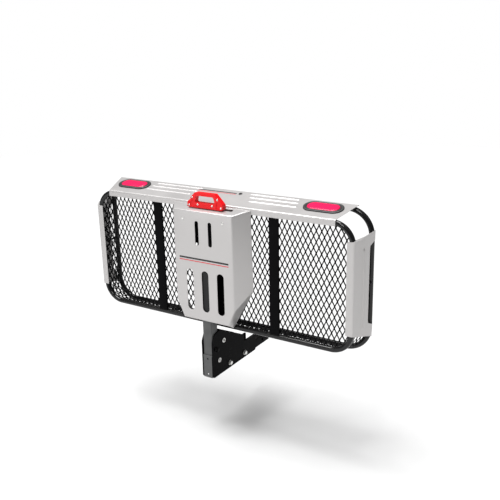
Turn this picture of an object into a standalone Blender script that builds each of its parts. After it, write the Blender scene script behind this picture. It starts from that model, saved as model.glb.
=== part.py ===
"""Tilting hitch cargo carrier: a steel basket on a post that folds about a bolted pivot.

All dimensions are millimetres in the carrier's own layout: X across the vehicle, +Y towards
the vehicle, +Z up, with the origin at the middle of the floor hoop's lower tube and the basket
folded upright. make_piece() turns them into metres. The world origin is the underside of the
hitch shank, straight below its hitch pin hole.
"""

import math

import bmesh
import bpy
from mathutils import Vector
from mathutils.geometry import tessellate_polygon

MM = 0.001
GAP = 0.4

# basket frame: two hoops of round tube, the rim hoop larger and further forward
TUBE_R = 12.7
TUBE_WALL = 1.6
FLOOR_HALF = 704.0
FLOOR_LOW, FLOOR_HIGH = 0.0, 580.0
RIM_HALF = 732.0
RIM_LOW, RIM_HIGH = -31.0, 614.0
RIM_Y = 128.0
FLOOR_CORNER = 96.0
RIM_CORNER = 112.0
CORNER_STEPS = 7
MESH_SHEET = 0.6
MESH_CLEAR = 13.4
CROSSBAR_X, CROSSBAR_WIDE = 325.0, 48.0
RAIL_X, RAIL_WIDE = 75.0, 38.0
BAR_BACK, BAR_FRONT = -10.0, 1.6
SADDLE_WALL = 3.0
FLOOR_MESH_Y = 2.4

# post, pivot and lock
POST = 50.8
POST_WALL = 3.2
POST_Y = -61.6
POST_LOW, POST_TOP = -135.4, 556.0
PIVOT_Y, PIVOT_Z = -61.6, -110.0
PIVOT_R = 6.35
LOCK_RADIUS = 69.0
LOCK_FOLDED, LOCK_DEPLOYED = math.radians(-70.0), math.radians(20.0)
LOCK_HOLE_R = 8.6
LUG_HALF, LUG_R = 4.0, 15.0
INDEX_IN, INDEX_OUT = 41.0, 53.0
ROD_X, ROD_Y, ROD_R = 15.0, -45.1, 3.0
PLUNGER_R = 4.5
RELEASE_TRAVEL = 20.0

# bracket on the shank
PLATE_IN, PLATE_OUT = 26.0, 32.0
PLATE_REAR, PLATE_FRONT, PLATE_LOW = -91.8, 183.0, -252.0
NOSE_FRONT, NOSE_TOP = 290.0, -167.0
SHANK = 50.8
SHANK_WALL = 4.8
SHANK_Z = -226.0
SHANK_REAR, SHANK_END = 10.0, 435.0
PIN_Y, PIN_R = 370.0, 8.2
BOLT_R = 6.35
SHANK_BOLTS = {"rear": 50.0, "front": 184.0}
WEB_TOP = -136.0
WEB_HOLES = (-155.0, -235.0)

# silver covers
COVER_SHEET = 1.5
LIP_Y = -15.0
COVER_LIP_LOW, COVER_LIP_TOP = 567.0, 594.0
COVER_RISE = 0.264
COVER_FAR, COVER_HEM = 128.0, 4.0
COVER_NEAR_HALF, COVER_FAR_HALF = 627.0, 669.0
SHIELD_Y = -91.3
SHIELD_SLOTS = [(-33.0, 468.0, 116.0), (40.0, 469.0, 116.0)]
SHIELD_SLOTS += [(x, 188.0, 204.0) for x in (-82.0, 4.0, 90.0)]
SLOT_WIDTHS = [20.0, 20.0, 38.0, 38.0, 38.0]
HANDLE_SLOT = (-116.0, 135.0, -49.5, -31.0)

# lamps on the top cover
LAMP_X, LAMP_Y = 530.0, 70.0
LAMP_BEZEL = (95.0, 43.0)
LAMP_BODY = (73.0, 27.0)

# release handle
HANDLE_FRONT, HANDLE_BACK = -66.0, -39.0
HANDLE_LOW, HANDLE_TOP = 582.0, 652.0
HANDLE_SCREWS = [("inner", 40.0, 597.0), ("outer", 88.0, 592.0)]

SHANK_FACE = Vector((0.0, PIN_Y, SHANK_Z - SHANK / 2))
PIVOT = Vector((0.0, PIVOT_Y, PIVOT_Z))

FINISHES = {
    "black_powder": ((0.022, 0.022, 0.024), 0.45, 0.0),
    "expanded_mesh": ((0.02, 0.02, 0.022), 0.5, 0.0),
    "silver_panel": ((0.60, 0.57, 0.56), 0.42, 0.6),
    "red_plastic": ((0.72, 0.015, 0.02), 0.35, 0.0),
    "red_lens": ((0.55, 0.005, 0.03), 0.15, 0.0),
    "black_plastic": ((0.03, 0.03, 0.03), 0.5, 0.0),
    "black_rubber": ((0.025, 0.025, 0.025), 0.8, 0.0),
    "zinc_steel": ((0.66, 0.66, 0.64), 0.3, 1.0),
    "bright_steel": ((0.6, 0.6, 0.6), 0.25, 1.0),
    "bronze": ((0.55, 0.36, 0.14), 0.35, 1.0),
}


# ---------------------------------------------------------------- scene and materials

def clear_scene():
    for obj in list(bpy.data.objects):
        bpy.data.objects.remove(obj)


def finish_material(finish):
    known = bpy.data.materials.get(finish)
    if known:
        return known
    colour, roughness, metallic = FINISHES[finish]
    material = bpy.data.materials.new(finish)
    material.use_nodes = True
    shader = material.node_tree.nodes["Principled BSDF"]
    shader.inputs["Base Color"].default_value = (*colour, 1.0)
    shader.inputs["Roughness"].default_value = roughness
    shader.inputs["Metallic"].default_value = metallic
    material.diffuse_color = (*colour, 1.0)
    return material


def make_empty(name, at, parent=None):
    empty = bpy.data.objects.new(name, None)
    bpy.context.scene.collection.objects.link(empty)
    empty.parent = parent
    home = Vector(parent["layout"]) if parent else Vector((0.0, 0.0, 0.0))
    empty.location = (Vector(at) - home) * MM
    empty["layout"] = tuple(at)
    return empty


def make_piece(name, mesh_builder, finish, group, helper=False):
    """Adds a piece to a group empty; its origin is the group's own point."""
    bmesh.ops.recalc_face_normals(mesh_builder, faces=mesh_builder.faces)
    home = Vector(group["layout"])
    for vertex in mesh_builder.verts:
        vertex.co = (vertex.co - home) * MM
    mesh = bpy.data.meshes.new(name)
    mesh_builder.to_mesh(mesh)
    mesh_builder.free()
    mesh.materials.append(finish_material(finish))
    mesh.shade_smooth()
    mesh.set_sharp_from_angle(angle=math.radians(35))
    piece = bpy.data.objects.new(name, mesh)
    bpy.context.scene.collection.objects.link(piece)
    piece.parent = group
    if helper:
        piece.hide_render = True
        piece.display_type = "WIRE"
    return piece


def combine(piece, helper, operation="DIFFERENCE"):
    boolean = piece.modifiers.new(operation.title(), "BOOLEAN")
    boolean.operation = operation
    boolean.solver = "EXACT"
    boolean.object = helper


def thicken(piece, thickness):
    solidify = piece.modifiers.new("Sheet", "SOLIDIFY")
    solidify.thickness = thickness * MM
    solidify.offset = 0.0
    solidify.use_even_offset = True


# ---------------------------------------------------------------- outlines and solids

def along_x(u, v, w):
    return Vector((w, u, v))


def along_y(u, v, w):
    return Vector((u, w, v))


def along_z(u, v, w):
    return Vector((u, v, w))


def circle(u, v, radius, count=20):
    turn = 2 * math.pi / count
    return [(u + radius * math.cos(i * turn), v + radius * math.sin(i * turn)) for i in range(count)]


def hexagon(u, v, across_flats):
    return circle(u, v, across_flats / math.sqrt(3), 6)


def arc(u, v, radius, start, end, steps):
    angles = [start + (end - start) * i / steps for i in range(steps + 1)]
    return [(u + radius * math.cos(a), v + radius * math.sin(a)) for a in angles]


def rounded_box(low_u, high_u, low_v, high_v, radius, steps=4):
    corners = [
        (high_u - radius, high_v - radius, 0.0),
        (low_u + radius, high_v - radius, 0.5 * math.pi),
        (low_u + radius, low_v + radius, math.pi),
        (high_u - radius, low_v + radius, 1.5 * math.pi),
    ]
    return [p for u, v, a in corners for p in arc(u, v, radius, a, a + 0.5 * math.pi, steps)]


def oval(u, v, half_long, half_wide, steps=8):
    points = arc(u + half_long - half_wide, v, half_wide, -0.5 * math.pi, 0.5 * math.pi, steps)
    return points + arc(u - half_long + half_wide, v, half_wide, 0.5 * math.pi, 1.5 * math.pi, steps)


def fill_loops(builder, loops):
    points = [vertex for loop in loops for vertex in loop]
    for a, b, c in tessellate_polygon([[vertex.co for vertex in loop] for loop in loops]):
        builder.faces.new((points[a], points[b], points[c]))


def add_walls(builder, low, high):
    for i, vertex in enumerate(low):
        after = (i + 1) % len(low)
        builder.faces.new((vertex, low[after], high[after], high[i]))


def add_slab(builder, loops, place, low, high):
    """A flat outline, its first loop outer and the others holes, from low to high."""
    ends = [[[builder.verts.new(place(u, v, w)) for u, v in loop] for loop in loops] for w in (low, high)]
    for level in ends:
        fill_loops(builder, level)
    for lower, upper in zip(*ends):
        add_walls(builder, lower, upper)


def add_stack(builder, stations, place):
    """A turned or stepped solid: each station is (start, end, outline)."""
    before = None
    for start, end, outline in stations:
        low = [builder.verts.new(place(u, v, start)) for u, v in outline]
        high = [builder.verts.new(place(u, v, end)) for u, v in outline]
        fill_loops(builder, [low] if before is None else [before, low])
        add_walls(builder, low, high)
        before = high
    fill_loops(builder, [before])


def add_skin(builder, stations, place):
    """A solid through outlines of equal point counts: each station is (height, outline)."""
    rings = [[builder.verts.new(place(u, v, w)) for u, v in outline] for w, outline in stations]
    for lower, upper in zip(rings, rings[1:]):
        add_walls(builder, lower, upper)
    fill_loops(builder, [rings[0]])
    fill_loops(builder, [rings[-1]])


def add_tube(builder, path, outer, inner, normal, sides=12):
    """A round tube, open at both ends, along a flat path whose plane has this normal."""
    rings = []
    for i, point in enumerate(path):
        ahead = (path[min(i + 1, len(path) - 1)] - path[max(i - 1, 0)]).normalized()
        side = ahead.cross(normal).normalized()
        ring = []
        for radius in (outer, inner):
            ring.append([builder.verts.new(point + side * u + normal * v) for u, v in circle(0, 0, radius, sides)])
        rings.append(ring)
    for before, after in zip(rings, rings[1:]):
        for lower, upper in zip(before, after):
            add_walls(builder, lower, upper)
    for outer_ring, inner_ring in (rings[0], rings[-1]):
        add_walls(builder, outer_ring, inner_ring)


def add_rod(builder, start, end, radius, sides=10):
    ahead = (end - start).normalized()
    side = ahead.orthogonal().normalized()
    other = ahead.cross(side)
    ends = []
    for point in (start, end):
        ends.append([builder.verts.new(point + side * u + other * v) for u, v in circle(0, 0, radius, sides)])
    for ring in ends:
        fill_loops(builder, [ring])
    add_walls(builder, *ends)


def slab_piece(name, loops, place, low, high, finish, group, helper=False):
    builder = bmesh.new()
    add_slab(builder, loops, place, low, high)
    return make_piece(name, builder, finish, group, helper)


def stack_piece(name, stations, place, finish, group):
    builder = bmesh.new()
    add_stack(builder, stations, place)
    return make_piece(name, builder, finish, group)


def sheet_piece(name, points, faces, thickness, finish, group):
    """Bent sheet: flat faces through shared corners, thickened both ways."""
    builder = bmesh.new()
    corners = [builder.verts.new(point) for point in points]
    for face in faces:
        builder.faces.new([corners[i] for i in face])
    piece = make_piece(name, builder, finish, group)
    thicken(piece, thickness)
    return piece


def box_loop(low_u, high_u, low_v, high_v):
    return [(low_u, low_v), (high_u, low_v), (high_u, high_v), (low_u, high_v)]


# ---------------------------------------------------------------- fixed bracket

def pivot_point(radius, angle):
    return PIVOT_Y + radius * math.cos(angle), PIVOT_Z + radius * math.sin(angle)


def plate_outline():
    return [
        (PLATE_REAR, PLATE_LOW),
        (NOSE_FRONT, PLATE_LOW),
        (NOSE_FRONT, NOSE_TOP),
        (PLATE_FRONT, NOSE_TOP),
        (PLATE_FRONT, -126.0),
        (2.0, -33.0),
        (-20.0, -21.0),
        (-74.0, -32.0),
        (PLATE_REAR, -66.0),
    ]


def make_bracket(hitch):
    bolt_holes = [circle(y, SHANK_Z, BOLT_R + GAP, 16) for y in SHANK_BOLTS.values()]
    for side, sign in (("left", -1), ("right", 1)):
        loops = [plate_outline(), circle(PIVOT_Y, PIVOT_Z, PIVOT_R + GAP, 16), *bolt_holes]
        loops += [circle(*pivot_point(LOCK_RADIUS, a), LOCK_HOLE_R, 16) for a in (LOCK_FOLDED, LOCK_DEPLOYED)]
        near, far = sorted((sign * PLATE_IN, sign * PLATE_OUT))
        slab_piece(f"side_plate_{side}", loops, along_x, near, far, "black_powder", hitch)

    half = PLATE_IN - GAP
    web = [box_loop(-half, half, PLATE_LOW, WEB_TOP), *(circle(0, z, 5.0, 12) for z in WEB_HOLES)]
    slab_piece("rear_web", web, along_y, PLATE_REAR, POST_Y - POST / 2 - 0.5, "black_powder", hitch)

    # quarter ring that the plunger locks into, with a notch for each end of the fold
    notch_angle = math.atan2(ROD_Y - PIVOT_Y, 45.0)
    folded, deployed = notch_angle - math.pi / 2, notch_angle
    ring = arc(PIVOT_Y, PIVOT_Z, INDEX_OUT, folded - 0.35, deployed + 0.35, 14)
    ring += arc(PIVOT_Y, PIVOT_Z, INDEX_IN, deployed + 0.35, folded - 0.35, 14)
    index = slab_piece("index_plate", [ring], along_x, 6.0, half, "bright_steel", hitch)
    notches = bmesh.new()
    hole_r = PLUNGER_R + 0.8
    add_slab(notches, [circle(ROD_X, ROD_Y, hole_r, 12)], along_z, PIVOT_Z - 60, PIVOT_Z - 30)
    deployed_z = PIVOT_Z + ROD_Y - PIVOT_Y
    add_slab(notches, [circle(ROD_X, deployed_z, hole_r, 12)], along_y, PIVOT_Y + 30, PIVOT_Y + 60)
    combine(index, make_piece("index_notches", notches, "bright_steel", hitch, helper=True))


def make_shank(hitch):
    half = SHANK / 2
    wall = SHANK_WALL
    builder = bmesh.new()
    outer = rounded_box(-half, half, SHANK_Z - half, SHANK_Z + half, 5.0)
    inner = rounded_box(-half + wall, half - wall, SHANK_Z - half + wall, SHANK_Z + half - wall, 2.0)
    add_slab(builder, [outer, inner], along_y, SHANK_REAR, SHANK_END)
    shank = make_piece("shank", builder, "black_powder", hitch)
    drills = bmesh.new()
    add_slab(drills, [circle(PIN_Y, SHANK_Z, PIN_R, 20)], along_x, -40, 40)
    for y in SHANK_BOLTS.values():
        add_slab(drills, [circle(y, SHANK_Z, BOLT_R + GAP, 16)], along_x, -40, 40)
    combine(shank, make_piece("shank_drills", drills, "black_powder", hitch, helper=True))


def make_cross_bolt(label, y, z, finish, hitch):
    """Hex bolt from the right, its nut on the left."""
    head_in, nut_in = PLATE_OUT + GAP, -PLATE_OUT - GAP
    nut_out = nut_in - 10.5
    stations = [
        (nut_out - 5.0, head_in, circle(y, z, BOLT_R, 16)),
        (head_in, head_in + 2.0, circle(y, z, 12.5, 20)),
        (head_in + 2.0, head_in + 10.0, hexagon(y, z, 19.0)),
    ]
    builder = bmesh.new()
    add_stack(builder, stations, along_x)
    make_piece(f"{label}_bolt", builder, finish, hitch)
    loops = [hexagon(y, z, 19.0), circle(y, z, BOLT_R + GAP, 12)]
    slab_piece(f"{label}_nut", loops, along_x, nut_out, nut_in, finish, hitch)


# ---------------------------------------------------------------- post and release

def make_post(fold):
    half = POST / 2
    inner_half = half - POST_WALL
    outer = rounded_box(-half, half, POST_Y - half, POST_Y + half, 4.0)
    inner = rounded_box(-inner_half, inner_half, POST_Y - inner_half, POST_Y + inner_half, 1.5)
    post = slab_piece("post", [outer, inner], along_z, POST_LOW, POST_TOP, "black_powder", fold)
    drill = slab_piece(
        "post_drill", [circle(PIVOT_Y, PIVOT_Z, 11.4, 20)], along_x, -40, 40, "black_powder", fold, helper=True
    )
    combine(post, drill)
    cap = [rounded_box(-half, half, POST_Y - half, POST_Y + half, 4.0), circle(ROD_X, ROD_Y, ROD_R + 0.6, 12)]
    slab_piece("post_cap", cap, along_z, POST_TOP + GAP, POST_TOP + 5.0, "black_plastic", fold)

    sleeve = [circle(PIVOT_Y, PIVOT_Z, 11.0), circle(PIVOT_Y, PIVOT_Z, 8.8)]
    slab_piece("pivot_sleeve", sleeve, along_x, -half, half, "bright_steel", fold)
    bush = [circle(PIVOT_Y, PIVOT_Z, 8.4), circle(PIVOT_Y, PIVOT_Z, PIVOT_R + GAP)]
    slab_piece("bush_left", bush, along_x, -half, -6.0, "bronze", fold)
    slab_piece("bush_right", bush, along_x, 6.0, half, "bronze", fold)

    lug_y, lug_z = pivot_point(LOCK_RADIUS, LOCK_FOLDED)
    top = PIVOT_Z - 13.0
    outline = [(POST_Y - inner_half + 1.5, top), (POST_Y - inner_half + 1.5, POST_LOW - 6.0)]
    outline += arc(lug_y, lug_z, LUG_R, math.radians(200), math.radians(360), 8)
    outline += [(POST_Y + inner_half - 1.0, POST_LOW - 4.0), (POST_Y + inner_half - 1.0, top)]
    lug = [outline, circle(lug_y, lug_z, LOCK_HOLE_R, 16)]
    slab_piece("lock_lug", lug, along_x, -LUG_HALF, LUG_HALF, "black_powder", fold)


def spring_points(low, high, radius, turns, per_turn=12):
    count = turns * per_turn
    for i in range(count + 1):
        angle = 2 * math.pi * i / per_turn
        height = low + (high - low) * i / count
        yield Vector((ROD_X + radius * math.cos(angle), ROD_Y + radius * math.sin(angle), height))


def make_release(fold, release):
    tip = PIVOT_Z - 32.5
    rod_low = PIVOT_Z + 20.0
    slab_piece("lock_plunger", [circle(ROD_X, ROD_Y, PLUNGER_R, 14)], along_z, tip, rod_low - GAP, "bright_steel", release)
    slab_piece("pull_rod", [circle(ROD_X, ROD_Y, ROD_R, 12)], along_z, rod_low, HANDLE_LOW - GAP, "bright_steel", release)
    collar = [circle(ROD_X, ROD_Y, 5.2, 14), circle(ROD_X, ROD_Y, ROD_R + 0.3, 14)]
    spring_low, spring_high = 490.0, POST_TOP - 1.4
    slab_piece("rod_collar", collar, along_z, spring_low - 7.0, spring_low - 1.4, "bright_steel", release)

    wire = 0.8
    home = Vector(fold["layout"])
    curve = bpy.data.curves.new("return_spring", "CURVE")
    curve.dimensions = "3D"
    curve.bevel_depth = wire * MM
    curve.bevel_resolution = 1
    curve.use_fill_caps = True
    curve.materials.append(finish_material("bright_steel"))
    points = list(spring_points(spring_low, spring_high, 4.6, 8))
    spline = curve.splines.new("POLY")
    spline.points.add(len(points) - 1)
    for control, point in zip(spline.points, points):
        control.co = (*((point - home) * MM), 1.0)
    spring = bpy.data.objects.new("return_spring", curve)
    bpy.context.scene.collection.objects.link(spring)
    spring.parent = fold

    low, top = HANDLE_LOW, HANDLE_TOP
    outline = [(-97, low), (97, low), (98, 606), (56, top - 2), (53, top), (-53, top), (-56, top - 2), (-98, 606)]
    hand_hole = [(-54, 606), (54, 606), (52, 624), (46, 638), (-46, 638), (-52, 624)]
    slab_piece("handle", [outline, hand_hole], along_y, HANDLE_FRONT, HANDLE_BACK, "red_plastic", release)
    for level, x, z in HANDLE_SCREWS:
        for side, sign in (("left", -1), ("right", 1)):
            stations = [
                (HANDLE_FRONT - 3.4, HANDLE_FRONT - 1.6, circle(sign * x, z, 3.0, 12)),
                (HANDLE_FRONT - 1.6, HANDLE_FRONT - GAP, circle(sign * x, z, 4.5, 12)),
            ]
            stack_piece(f"handle_screw_{level}_{side}", stations, along_y, "zinc_steel", release)


# ---------------------------------------------------------------- basket

def hoop_path(half, low, high, radius, y):
    """Round the hoop from one side of the splice in its top tube to the other."""
    loop = rounded_box(-half, half, low, high, radius, CORNER_STEPS)
    steps = CORNER_STEPS + 1
    loop = loop[steps:] + loop[:steps]
    flat = [(-0.3, high), *loop, (0.3, high)]
    return [Vector((u, y, v)) for u, v in flat]


def make_hoops(fold):
    sizes = {
        "floor_hoop": (FLOOR_HALF, FLOOR_LOW, FLOOR_HIGH, FLOOR_CORNER, 0.0),
        "rim_hoop": (RIM_HALF, RIM_LOW, RIM_HIGH, RIM_CORNER, RIM_Y),
    }
    for name, size in sizes.items():
        builder = bmesh.new()
        add_tube(builder, hoop_path(*size), TUBE_R, TUBE_R - TUBE_WALL, Vector((0, 1, 0)))
        make_piece(name, builder, "black_powder", fold)


def make_bars(fold):
    reach = TUBE_R + GAP
    low, high = FLOOR_LOW + reach, FLOOR_HIGH - reach
    wall = 2.0
    bars = {
        "crossbar_left": (-CROSSBAR_X, CROSSBAR_WIDE),
        "crossbar_right": (CROSSBAR_X, CROSSBAR_WIDE),
        "centre_rail_left": (-RAIL_X, RAIL_WIDE),
        "centre_rail_right": (RAIL_X, RAIL_WIDE),
    }
    for name, (x, wide) in bars.items():
        outer = box_loop(x - wide / 2, x + wide / 2, BAR_BACK, BAR_FRONT)
        inner = box_loop(x - wide / 2 + wall, x + wide / 2 - wall, BAR_BACK + wall, BAR_FRONT - wall)
        slab_piece(name, [outer, inner], along_z, low, high, "black_powder", fold)

    back = POST_Y + POST / 2 + GAP
    front = BAR_BACK - GAP
    for name, low, high in (("saddle_lower", 58.0, 305.0), ("saddle_upper", 402.0, 535.0)):
        channel = [(back, low), (front, low), (front, high), (back, high)]
        channel += [(back, high - SADDLE_WALL), (front - SADDLE_WALL, high - SADDLE_WALL)]
        channel += [(front - SADDLE_WALL, low + SADDLE_WALL), (back, low + SADDLE_WALL)]
        slab_piece(name, [channel], along_x, -110, 110, "black_powder", fold)


def make_struts(fold):
    """Round braces between the hoops, just outside the mesh walls."""
    mid_z = 300.0
    spans = {
        "side_strut_left": ((-FLOOR_HALF, mid_z), (-RIM_HALF, mid_z)),
        "side_strut_right": ((FLOOR_HALF, mid_z), (RIM_HALF, mid_z)),
        "lower_strut_left": ((-CROSSBAR_X, FLOOR_LOW), (-CROSSBAR_X, RIM_LOW)),
        "lower_strut_right": ((CROSSBAR_X, FLOOR_LOW), (CROSSBAR_X, RIM_LOW)),
        "upper_strut_left": ((-CROSSBAR_X, FLOOR_HIGH), (-CROSSBAR_X, RIM_HIGH)),
        "upper_strut_right": ((CROSSBAR_X, FLOOR_HIGH), (CROSSBAR_X, RIM_HIGH)),
    }
    for name, ((floor_x, floor_z), (rim_x, rim_z)) in spans.items():
        start = Vector((floor_x, 0.0, floor_z))
        end = Vector((rim_x, RIM_Y, rim_z))
        ahead = (end - start).normalized()
        flare = Vector((rim_x - floor_x, 0.0, rim_z - floor_z)).normalized()
        outward = (flare - ahead * flare.dot(ahead)).normalized() * 6.4
        builder = bmesh.new()
        trim = ahead * MESH_CLEAR
        add_rod(builder, start + outward + trim, end + outward - trim, 4.8)
        make_piece(name, builder, "black_powder", fold)


def wall_strip(floor_points, rim_points):
    """Pairs of points just clear of the floor tube and the rim tube."""
    strip = []
    for (fx, fz), (rx, rz) in zip(floor_points, rim_points):
        start, end = Vector((fx, 0.0, fz)), Vector((rx, RIM_Y, rz))
        ahead = (end - start).normalized() * MESH_CLEAR
        strip.append((start + ahead, end - ahead))
    return strip


def wall_piece(name, strip, fold):
    points = [point for pair in strip for point in pair]
    faces = [(2 * i, 2 * i + 1, 2 * i + 3, 2 * i + 2) for i in range(len(strip) - 1)]
    sheet_piece(name, points, faces, MESH_SHEET, "expanded_mesh", fold)


def lower_corner_arcs(x_sign):
    start = math.pi if x_sign < 0 else 1.5 * math.pi
    both = []
    for half, low, radius in ((FLOOR_HALF, FLOOR_LOW, FLOOR_CORNER), (RIM_HALF, RIM_LOW, RIM_CORNER)):
        u = x_sign * (half - radius)
        ease = 0.004
        both.append(arc(u, low + radius, radius, start + ease, start + math.pi / 2 - ease, CORNER_STEPS))
    return both


def make_mesh_walls(fold):
    inset_x, inset_z = FLOOR_HALF - TUBE_R - GAP, TUBE_R + GAP
    corner = FLOOR_CORNER - TUBE_R
    outline = rounded_box(-inset_x, inset_x, FLOOR_LOW + inset_z, FLOOR_HIGH - inset_z, corner, 5)
    slab_piece("floor_mesh", [outline], along_y, FLOOR_MESH_Y, FLOOR_MESH_Y + MESH_SHEET, "expanded_mesh", fold)

    floor_z = (FLOOR_LOW + FLOOR_CORNER + GAP, FLOOR_HIGH - FLOOR_CORNER - GAP)
    rim_z = (RIM_LOW + RIM_CORNER + GAP, RIM_HIGH - RIM_CORNER - GAP)
    for side, sign in (("left", -1), ("right", 1)):
        strip = wall_strip([(sign * FLOOR_HALF, z) for z in floor_z], [(sign * RIM_HALF, z) for z in rim_z])
        wall_piece(f"side_mesh_{side}", strip, fold)
        wall_piece(f"corner_mesh_{side}", wall_strip(*lower_corner_arcs(sign)), fold)
    floor_x = FLOOR_HALF - FLOOR_CORNER - GAP
    rim_x = RIM_HALF - RIM_CORNER - GAP
    strip = wall_strip([(-floor_x, FLOOR_LOW), (floor_x, FLOOR_LOW)], [(-rim_x, RIM_LOW), (rim_x, RIM_LOW)])
    wall_piece("lower_mesh", strip, fold)


# ---------------------------------------------------------------- covers and lamps

def cover_height(y):
    return COVER_LIP_TOP + COVER_RISE * (y - LIP_Y)


def on_cover(u, v, w):
    """Point on the sloping top cover: u across, v up the slope from the lip, w above it."""
    slope = math.atan(COVER_RISE)
    y = LIP_Y + v * math.cos(slope) - w * math.sin(slope)
    z = COVER_LIP_TOP + v * math.sin(slope) + w * math.cos(slope)
    return Vector((u, y, z))


def slope_run(y):
    return (y - LIP_Y) / math.cos(math.atan(COVER_RISE))


def make_top_cover(fold):
    near, far = COVER_NEAR_HALF, COVER_FAR_HALF
    far_top = cover_height(COVER_FAR)
    rows = [
        (near, LIP_Y, COVER_LIP_LOW),
        (near, LIP_Y, COVER_LIP_TOP),
        (far, COVER_FAR, far_top),
        (far, COVER_FAR, far_top - COVER_HEM),
    ]
    points = [(sign * x, y, z) for x, y, z in rows for sign in (-1, 1)]
    faces = [(2 * i, 2 * i + 1, 2 * i + 3, 2 * i + 2) for i in range(3)]
    cover = sheet_piece("top_cover", points, faces, COVER_SHEET, "silver_panel", fold)
    cutters = bmesh.new()
    for sign in (-1, 1):
        opening = oval(sign * LAMP_X, slope_run(LAMP_Y), LAMP_BODY[0] + 2.4, LAMP_BODY[1] + 2.4)
        add_slab(cutters, [opening], on_cover, -20, 20)
    add_slab(cutters, [circle(86, slope_run(101), 6.4, 12)], on_cover, -20, 20)
    combine(cover, make_piece("top_cover_openings", cutters, "silver_panel", fold, helper=True))

    run = slope_run(101)
    half_sheet = COVER_SHEET / 2
    rim = [circle(86, run, 9.0, 14), circle(86, run, 3.5, 14)]
    slab_piece("harness_grommet", rim, on_cover, half_sheet + GAP, half_sheet + 2.6, "black_rubber", fold)


def make_lamps(fold):
    run = slope_run(LAMP_Y)
    sheet_top = COVER_SHEET / 2
    for side, sign in (("left", -1), ("right", 1)):
        x = sign * LAMP_X
        bezel = [oval(x, run, *LAMP_BEZEL), oval(x, run, LAMP_BODY[0] + 4.4, LAMP_BODY[1] + 4.4)]
        slab_piece(f"lamp_bezel_{side}", bezel, on_cover, sheet_top + GAP, sheet_top + 6.0, "black_rubber", fold)
        body = oval(x, run, *LAMP_BODY)
        slab_piece(f"lamp_housing_{side}", [body], on_cover, -22.0, sheet_top + 0.6, "black_plastic", fold)
        dome = [(sheet_top + 1.0, 0.0), (sheet_top + 6.0, 0.0), (sheet_top + 8.0, 3.0), (sheet_top + 9.2, 10.0)]
        lens = [(w, oval(x, run, LAMP_BODY[0] + 4 - inset, LAMP_BODY[1] + 4 - inset)) for w, inset in dome]
        builder = bmesh.new()
        add_skin(builder, lens, on_cover)
        make_piece(f"lamp_lens_{side}", builder, "red_lens", fold)


def side_face_x(y):
    return 717.2 + (747.5 - 717.2) * (y - LIP_Y) / (RIM_Y - 1.0 - LIP_Y)


def make_side_covers(fold):
    """Bent end panels: a narrow lip facing out and a long face that follows the flare."""
    lip_in, lip_low, lip_high = 682.0, 86.0, 505.0
    edge = [
        (LIP_Y, 510.0), (127.0, 532.0), (126.0, 489.0), (93.0, 470.0), (91.0, 450.0),
        (90.0, 128.0), (93.0, 118.0), (122.0, 104.0), (121.0, 47.0), (LIP_Y, 86.0),
    ]
    for side, sign in (("left", -1), ("right", 1)):
        points = [(sign * side_face_x(y), y, z) for y, z in edge]
        points += [(sign * lip_in, LIP_Y, lip_low), (sign * lip_in, LIP_Y, lip_high)]
        faces = [tuple(range(len(edge))), (0, len(edge) - 1, len(edge), len(edge) + 1)]
        sheet_piece(f"side_cover_{side}", points, faces, COVER_SHEET, "silver_panel", fold)


def make_shield(fold):
    """Folded pan over the post: a front face with slanted flanges, open at the bottom."""
    back = LIP_Y - COVER_SHEET
    half_points = [
        (162.0, SHIELD_Y, 570.0),
        (162.0, SHIELD_Y, 120.0),
        (128.0, SHIELD_Y, 42.0),
        (214.0, back, 586.0),
        (221.0, back, 208.0),
        (104.0, back, 0.0),
    ]
    points = [(sign * x, y, z) for sign in (1, -1) for x, y, z in half_points]
    faces = [(0, 1, 2, 8, 7, 6), (0, 3, 4, 1), (1, 4, 5, 2), (6, 7, 10, 9), (7, 8, 11, 10), (0, 6, 9, 3)]
    shield = sheet_piece("shield", points, faces, COVER_SHEET, "silver_panel", fold)
    cutters = bmesh.new()
    for (x, z, long), wide in zip(SHIELD_SLOTS, SLOT_WIDTHS):
        slot = [(x + v, z + u) for u, v in oval(0, 0, long / 2, wide / 2, 5)]
        add_slab(cutters, [slot], along_y, SHIELD_Y - 10, SHIELD_Y + 10)
    add_slab(cutters, [box_loop(*HANDLE_SLOT)], along_z, 560, 600)
    combine(shield, make_piece("shield_slots", cutters, "silver_panel", fold, helper=True))

    strip_back = SHIELD_Y + COVER_SHEET / 2 + 0.3
    strip_front = POST_Y - POST / 2 - 0.3
    slab_piece("shield_strip", [box_loop(-126, 126, 517, 547)], along_y, strip_back, strip_front, "black_powder", fold)
    for side, sign in (("left", -1), ("right", 1)):
        face = SHIELD_Y - COVER_SHEET / 2
        stations = [
            (face - 2.6, face - 1.4, circle(sign * 111, 531, 3.6, 12)),
            (face - 1.4, face - GAP, circle(sign * 111, 531, 5.6, 12)),
        ]
        stack_piece(f"shield_rivet_{side}", stations, along_y, "zinc_steel", fold)


# ---------------------------------------------------------------- assembly

def main():
    clear_scene()
    carrier = make_empty("carrier", (0.0, 0.0, 0.0))
    carrier.location = -SHANK_FACE * MM
    hitch = make_empty("hitch_group", SHANK_FACE, carrier)
    fold = make_empty("fold_axis", PIVOT, carrier)
    release = make_empty("release_axis", (ROD_X, ROD_Y, HANDLE_LOW), fold)

    make_bracket(hitch)
    make_shank(hitch)
    for label, y in SHANK_BOLTS.items():
        make_cross_bolt(f"shank_{label}", y, SHANK_Z, "zinc_steel", hitch)
    make_cross_bolt("pivot", PIVOT_Y, PIVOT_Z, "black_powder", hitch)

    make_post(fold)
    make_release(fold, release)
    make_hoops(fold)
    make_bars(fold)
    make_struts(fold)
    make_mesh_walls(fold)
    make_top_cover(fold)
    make_lamps(fold)
    make_side_covers(fold)
    make_shield(fold)


if __name__ == "__main__":
    main()
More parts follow.
